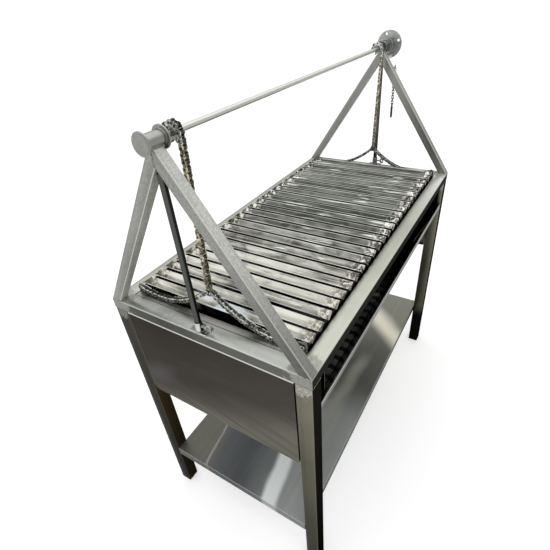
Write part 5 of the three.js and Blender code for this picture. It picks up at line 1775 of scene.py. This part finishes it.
def crank_arm():
    """A flat bar with round ends, and the bolt that the grip turns on."""
    lean = math.atan2(bolt_centre[1] - AXLE_HEIGHT, bolt_centre[0])
    side = lean + QUARTER_TURN
    outline = [
        *arc(bolt_centre, CRANK_END_RADIUS, lean - QUARTER_TURN, side, ROUND_END_STEPS),
        *arc((0, AXLE_HEIGHT), CRANK_END_RADIUS, side, lean + 3 * QUARTER_TURN, ROUND_END_STEPS),
    ]
    back = crank_low.x + CRANK_THICKNESS
    arm = plate(
        "arm", outline, crank_low.x, back, holes=[circle(BUSH_BORE, (0, AXLE_HEIGHT))], ease=CRANK_EASE,
    )
    head = crank_high.x - BOLT_HEAD_LENGTH
    outline = rod(back - BOLT_EMBED, head, BOLT_RADIUS)
    shank = turned("shank", outline, (0, *bolt_centre), segments=SMALL_ROUND)
    hexagon = circle(BOLT_HEAD_RADIUS, bolt_centre, 6)
    bolt_head = plate("bolt_head", hexagon, head, crank_high.x, ease=BOLT_HEAD_EASE)
    return merged("crank_arm_bolted", arm, shank, bolt_head)


def crank_grip():
    """A turned grip with round ends and a slim waist."""
    radius = radius_of("crank_grip")
    length = grip_high.x - grip_low.x
    outline = [(grip_low.x, GRIP_BORE)]
    for k in range(GRIP_STEPS + 1):
        share = k / GRIP_STEPS
        place = grip_low.x + length * share
        waist = 1 - (1 - GRIP_WAIST_SHARE) * math.sin(math.pi * share) ** 2
        from_end = min(share, 1 - share) * length
        lost = GRIP_END_ROUND - math.sqrt(max(GRIP_END_ROUND ** 2 - (GRIP_END_ROUND - from_end) ** 2, 0))
        outline.append((place, radius * waist - (lost if from_end < GRIP_END_ROUND else 0)))
    outline += [(grip_high.x, GRIP_BORE), (grip_low.x, GRIP_BORE)]
    return turned("crank_grip_moulded", outline, (0, *bolt_centre), ease=0, closed=True)


dressed(index_disc(), "axle", disc_steel, replaces=["index_disc"])
dressed(lock_boss(), "frame", galvanised, replaces=["lock_boss"])
dressed(crank_arm(), "axle", galvanised, replaces=["crank_arm"])
dressed(crank_grip(), "crank_grip", grip_plastic, replaces=["crank_grip"])


# Keeper chain, its eye screw and the lock pin

KEEPER_WIRE = 1.5 * MM
KEEPER_RING = 6 * MM
KEEPER_SHANK_RADIUS = 2.5 * MM
KEEPER_LINKS = 13
KEEPER_LINK_RADIUS = 4 * MM
KEEPER_LINK_WIRE = 1.25 * MM
KEEPER_LINK_REACH = 8.32 * MM
LOCK_PIN_RADIUS = 4 * MM
LOCK_PIN_CHAMFER = 1.5 * MM
LOCK_PIN_EASE = 0.4 * MM

eye_low, eye_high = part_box("keeper_eye")
eye_centre = (eye_high.x - KEEPER_RING - KEEPER_WIRE, *middle_of("keeper_eye")[1:])
links_low, links_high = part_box("keeper_chain")
pin_low, pin_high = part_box("lock_pin")


def ring(name, centre):
    """A ring of wire in the (x, z) plane."""
    points = [(centre[0] + u, centre[1], centre[2] + v) for u, v in circle(KEEPER_RING)]
    return wire(name, points, KEEPER_WIRE)


def keeper_eye():
    """The eye screw that the keeper chain hangs from."""
    outline = rod(eye_low.x, eye_centre[0] - KEEPER_RING, KEEPER_SHANK_RADIUS)
    shank = turned("shank", outline, (0, *eye_centre[1:]), segments=SMALL_ROUND)
    return merged("keeper_eye_screw", ring("ring", eye_centre), shank)


def lock_pin():
    """A pin with a chamfered nose, under the ring that holds it on its chain."""
    top = pin_high.z - 2 * (KEEPER_RING + KEEPER_WIRE) + KEEPER_WIRE
    centre = (eye_centre[0], eye_centre[1], 0)
    nose = pin_low.z + LOCK_PIN_CHAMFER
    outline = [
        (pin_low.z, 0), (pin_low.z, LOCK_PIN_RADIUS - LOCK_PIN_CHAMFER), (nose, LOCK_PIN_RADIUS),
        (top, LOCK_PIN_RADIUS), (top, 0),
    ]
    shank = turned("shank", outline, centre, "z", BAR_ROUND, ease=LOCK_PIN_EASE)
    loop = ring("ring", (centre[0], centre[1], pin_high.z - KEEPER_RING - KEEPER_WIRE))
    return merged("lock_pin_turned", shank, loop)


dressed(keeper_eye(), "frame", wire_steel, replaces=["keeper_eye"])
keeper_links = oval_chain().grow(
    polylines("keeper_chain_links", [[(0, 0, 0)]]), Links=KEEPER_LINKS,
    Spacing=(links_high.z - links_low.z - 2 * KEEPER_LINK_REACH) / (KEEPER_LINKS - 1),
    Link_Radius=KEEPER_LINK_RADIUS, Link_Stretch=KEEPER_LINK_REACH - KEEPER_LINK_RADIUS - KEEPER_LINK_WIRE,
    Wire_Radius=KEEPER_LINK_WIRE, Top=(eye_centre[0], eye_centre[1], links_high.z - KEEPER_LINK_REACH),
    Finish=link_steel,
)
dressed(keeper_links, "keeper", replaces=["keeper_chain"])
dressed(lock_pin(), "keeper", lock_pin_steel, replaces=["lock_pin"])


# Weld beads

BEAD = {"Bead_Radius": 1.5 * MM, "Bead_Spacing": 1.9 * MM, "Wander": 0.25 * MM}
POST_SIDE = 25 * MM
BEAD_GAP = 0.4 * MM
BEAD_END = 3 * MM
HUB_BEAD_GAP = 0.5 * MM
SEAM_END = 2 * MM
PLATE_BEAD_RISE = 0.6 * MM
PLATE_BEAD_INSET = 2 * MM
DISC_BEAD_GAP = 0.3 * MM
SLAT_BEAD_GAP = 0.5 * MM
SLAT_BEAD_DROP = 1.5 * MM
SLAT_BEAD_RISE = 0.6 * MM
LUG_BEAD_LENGTH = 7 * MM


def post_foot_line(flank, end):
    """Round the three inner sides of a post's foot on the rail."""
    low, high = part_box(f"a_frame_post_{flank}_{end}")
    sign = FLANKS[flank]
    outer = sign * (FRAME_HALF_WIDTH - BEAD_END)
    inner = sign * (FRAME_HALF_WIDTH - POST_SIDE / math.cos(POST_LEAN))
    z = FRAME_HEIGHT + BEAD_GAP
    return [(low.x, outer, z), (low.x, inner, z), (high.x, inner, z), (high.x, outer, z)]


def hub_lines(end):
    """Along the hub's tube where the two posts meet it, and down the seam between them."""
    low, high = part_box(f"a_frame_post_front_{end}")
    outer = -QUARTER_TURN - POST_LEAN
    inner = -QUARTER_TURN + POST_LEAN
    radius = HUB_TUBE_RADIUS + HUB_BEAD_GAP
    seam_end = AXLE_HEIGHT - POST_SIDE / math.sin(POST_LEAN) + SEAM_END
    lines = []
    for x in (low.x, high.x):
        lines.append([(x, y, z) for y, z in arc((0, AXLE_HEIGHT), radius, outer, inner, 12)])
        lines.append([(x, 0, AXLE_HEIGHT - radius), (x, 0, seam_end)])
    for angle in (outer, inner):
        y, z = radius * math.cos(angle), AXLE_HEIGHT + radius * math.sin(angle)
        lines.append([(low.x, y, z), (high.x, y, z)])
    return lines


def ring_line(centre, radius):
    return arc(centre, radius, 0, FULL_TURN, SMALL_ROUND)


def round_line(x, centre, radius):
    return [(x, y, z) for y, z in ring_line(centre, radius)]


def socket_lines(end):
    """Round the foot of the socket's tube, and along two edges of its base plate."""
    low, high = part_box(f"strut_socket_{end}")
    z = low.z + SOCKET_PLATE
    middle = (middle_of(f"strut_{end}")[0], 0)
    foot = [(x, y, z) for x, y in ring_line(middle, SOCKET_TUBE_RADIUS + BEAD_GAP)]
    start, finish = low.x + PLATE_BEAD_INSET, high.x - PLATE_BEAD_INSET
    z = FRAME_HEIGHT + PLATE_BEAD_RISE
    return [foot, *[[(start, y, z), (finish, y, z)] for y in (low.y, high.y)]]


frame_lines = [post_foot_line(flank, end) for flank, end in CORNERS]
for end in ENDS:
    frame_lines += hub_lines(end) + socket_lines(end)
frame_lines.append(round_line(boss_low.x + BEAD_GAP, boss_centre, radius_of("lock_boss") + BEAD_GAP))
disc_bead_places = (
    disc_high.x - DISC_THICKNESS - DISC_BEAD_GAP, disc_low.x + SPACER_THICKNESS + DISC_BEAD_GAP,
)
axle_lines = [round_line(x, (0, AXLE_HEIGHT), DISC_BOSS_RADIUS + DISC_BEAD_GAP) for x in disc_bead_places]


def slat_end_line(k, sign):
    """Down and up inside a slat, along the plate that closes its end."""
    x = FIRST_SLAT + k * SLAT_PITCH
    y = sign * (SLAT_HALF_LENGTH - SLAT_END_DROP - SLAT_END_THICKNESS - SLAT_BEAD_GAP)
    top = SLAT_TOP - SLAT_END_DROP - SLAT_BEAD_DROP
    half = (top - SLAT_BOTTOM) / math.tan(SLAT_SLOPE) - SLAT_SHEET
    low = SLAT_BOTTOM + SLAT_SHEET + SLAT_BEAD_RISE
    return [(x - half, y, top), (x, y, low), (x + half, y, top)]


grate_lines = [slat_end_line(k, sign) for k in range(SLAT_COUNT) for sign in FLANKS.values()]
for flank, end in CORNERS:
    lug = f"grate_lug_{flank}_{end}"
    x = inner_and_outer(lug, ENDS[end])[0]
    outer = FLANKS[flank] * (SLAT_HALF_LENGTH - BAR_INSET)
    inner = outer - FLANKS[flank] * BAR_THICKNESS
    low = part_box(lug)[0].z
    top = low + LUG_BEAD_LENGTH
    grate_lines += [[(x, inner, top), (x, outer, top)], [(x, inner, low), (x, inner, top)]]

weld_tree = weld_bead()
for body, lines in {"frame": frame_lines, "axle": axle_lines, "grate": grate_lines}.items():
    beads = weld_tree.grow(polylines(f"weld_beads_{body}", lines), **BEAD, Seed=3, Finish=weld_steel)
    dressed(beads, body)


# Stage

WHITE = grey(1)
FLOOR_HALF_SIDE = 60000 * MM
FLOOR_DROP = 0.2 * MM
FLOOR_CELLS = 4
FLOOR_SEEN_GLOW = 0.43
FLOOR_MIRRORED_GLOW = 0.34
SKY_LIGHT = 0.8

floor_shape = bmesh.new()
bmesh.ops.create_grid(floor_shape, x_segments=FLOOR_CELLS, y_segments=FLOOR_CELLS, size=FLOOR_HALF_SIDE)
floor = from_bmesh("studio_floor", floor_shape)
floor.location.z = -FLOOR_DROP
floor_finish = Finish("studio_floor")
paper = floor_finish.add("ShaderNodeBsdfPrincipled", None, {"Base Color": grey(0.85), "Roughness": 0.9})
floor_path = floor_finish.add("ShaderNodeLightPath", output="Is Camera Ray")
floor_mirrored = floor_path.beside("Is Glossy Ray") + floor_path.beside("Is Transmission Ray")
floor_glow = floor_path * FLOOR_SEEN_GLOW + floor_mirrored * FLOOR_MIRRORED_GLOW
glow = floor_finish.add("ShaderNodeEmission", None, {"Color": WHITE, "Strength": floor_glow})
lit_paper = floor_finish.add("ShaderNodeAddShader", None, {0: paper, 1: glow})
floor_finish.add("ShaderNodeOutputMaterial", None, {"Surface": lit_paper})
floor.data.materials.append(floor_finish.material)

world = bpy.data.worlds.new("studio")
world.use_nodes = True
bpy.context.scene.world = world
sky = Graph(world.node_tree)
sky.tree.nodes.clear()
sky_path = sky.add("ShaderNodeLightPath", output="Is Camera Ray")
sky_seen = sky.math(
    "MAXIMUM", sky_path, sky_path.beside("Is Glossy Ray") + sky_path.beside("Is Transmission Ray"),
)
lit = sky.add("ShaderNodeBackground", None, {"Color": WHITE, "Strength": SKY_LIGHT})
white = sky.add("ShaderNodeBackground", None, {"Color": WHITE, "Strength": 1})
both = sky.add("ShaderNodeMixShader", None, {0: sky_seen, 1: lit, 2: white})
sky.add("ShaderNodeOutputWorld", None, {"Surface": both})


# Soft lamps, in metres and watts
LAMPS = {
    "ceiling_softbox": {"place": (-0.6, 0.9, 3.6), "aim": (0, 0, 0.7), "size": (3, 3), "power": 20},
    "side_softbox": {"place": (-3.0, -1.6, 2.4), "aim": (0, 0, 0.6), "size": (2, 2), "power": 6},
}


def lamp(name, place, aim, size, power):
    """A rectangular soft lamp, turned to its aim."""
    data = bpy.data.lights.new(name, "AREA")
    data.shape = "RECTANGLE"
    data.size, data.size_y = size
    data.energy = power
    piece = bpy.data.objects.new(name, data)
    piece.location = place
    piece.rotation_euler = (Vector(aim) - Vector(place)).to_track_quat("-Z", "Y").to_euler()
    bpy.context.scene.collection.objects.link(piece)


for name, setting in LAMPS.items():
    lamp(name, **setting)

bpy.context.scene.view_settings.view_transform = "Standard"
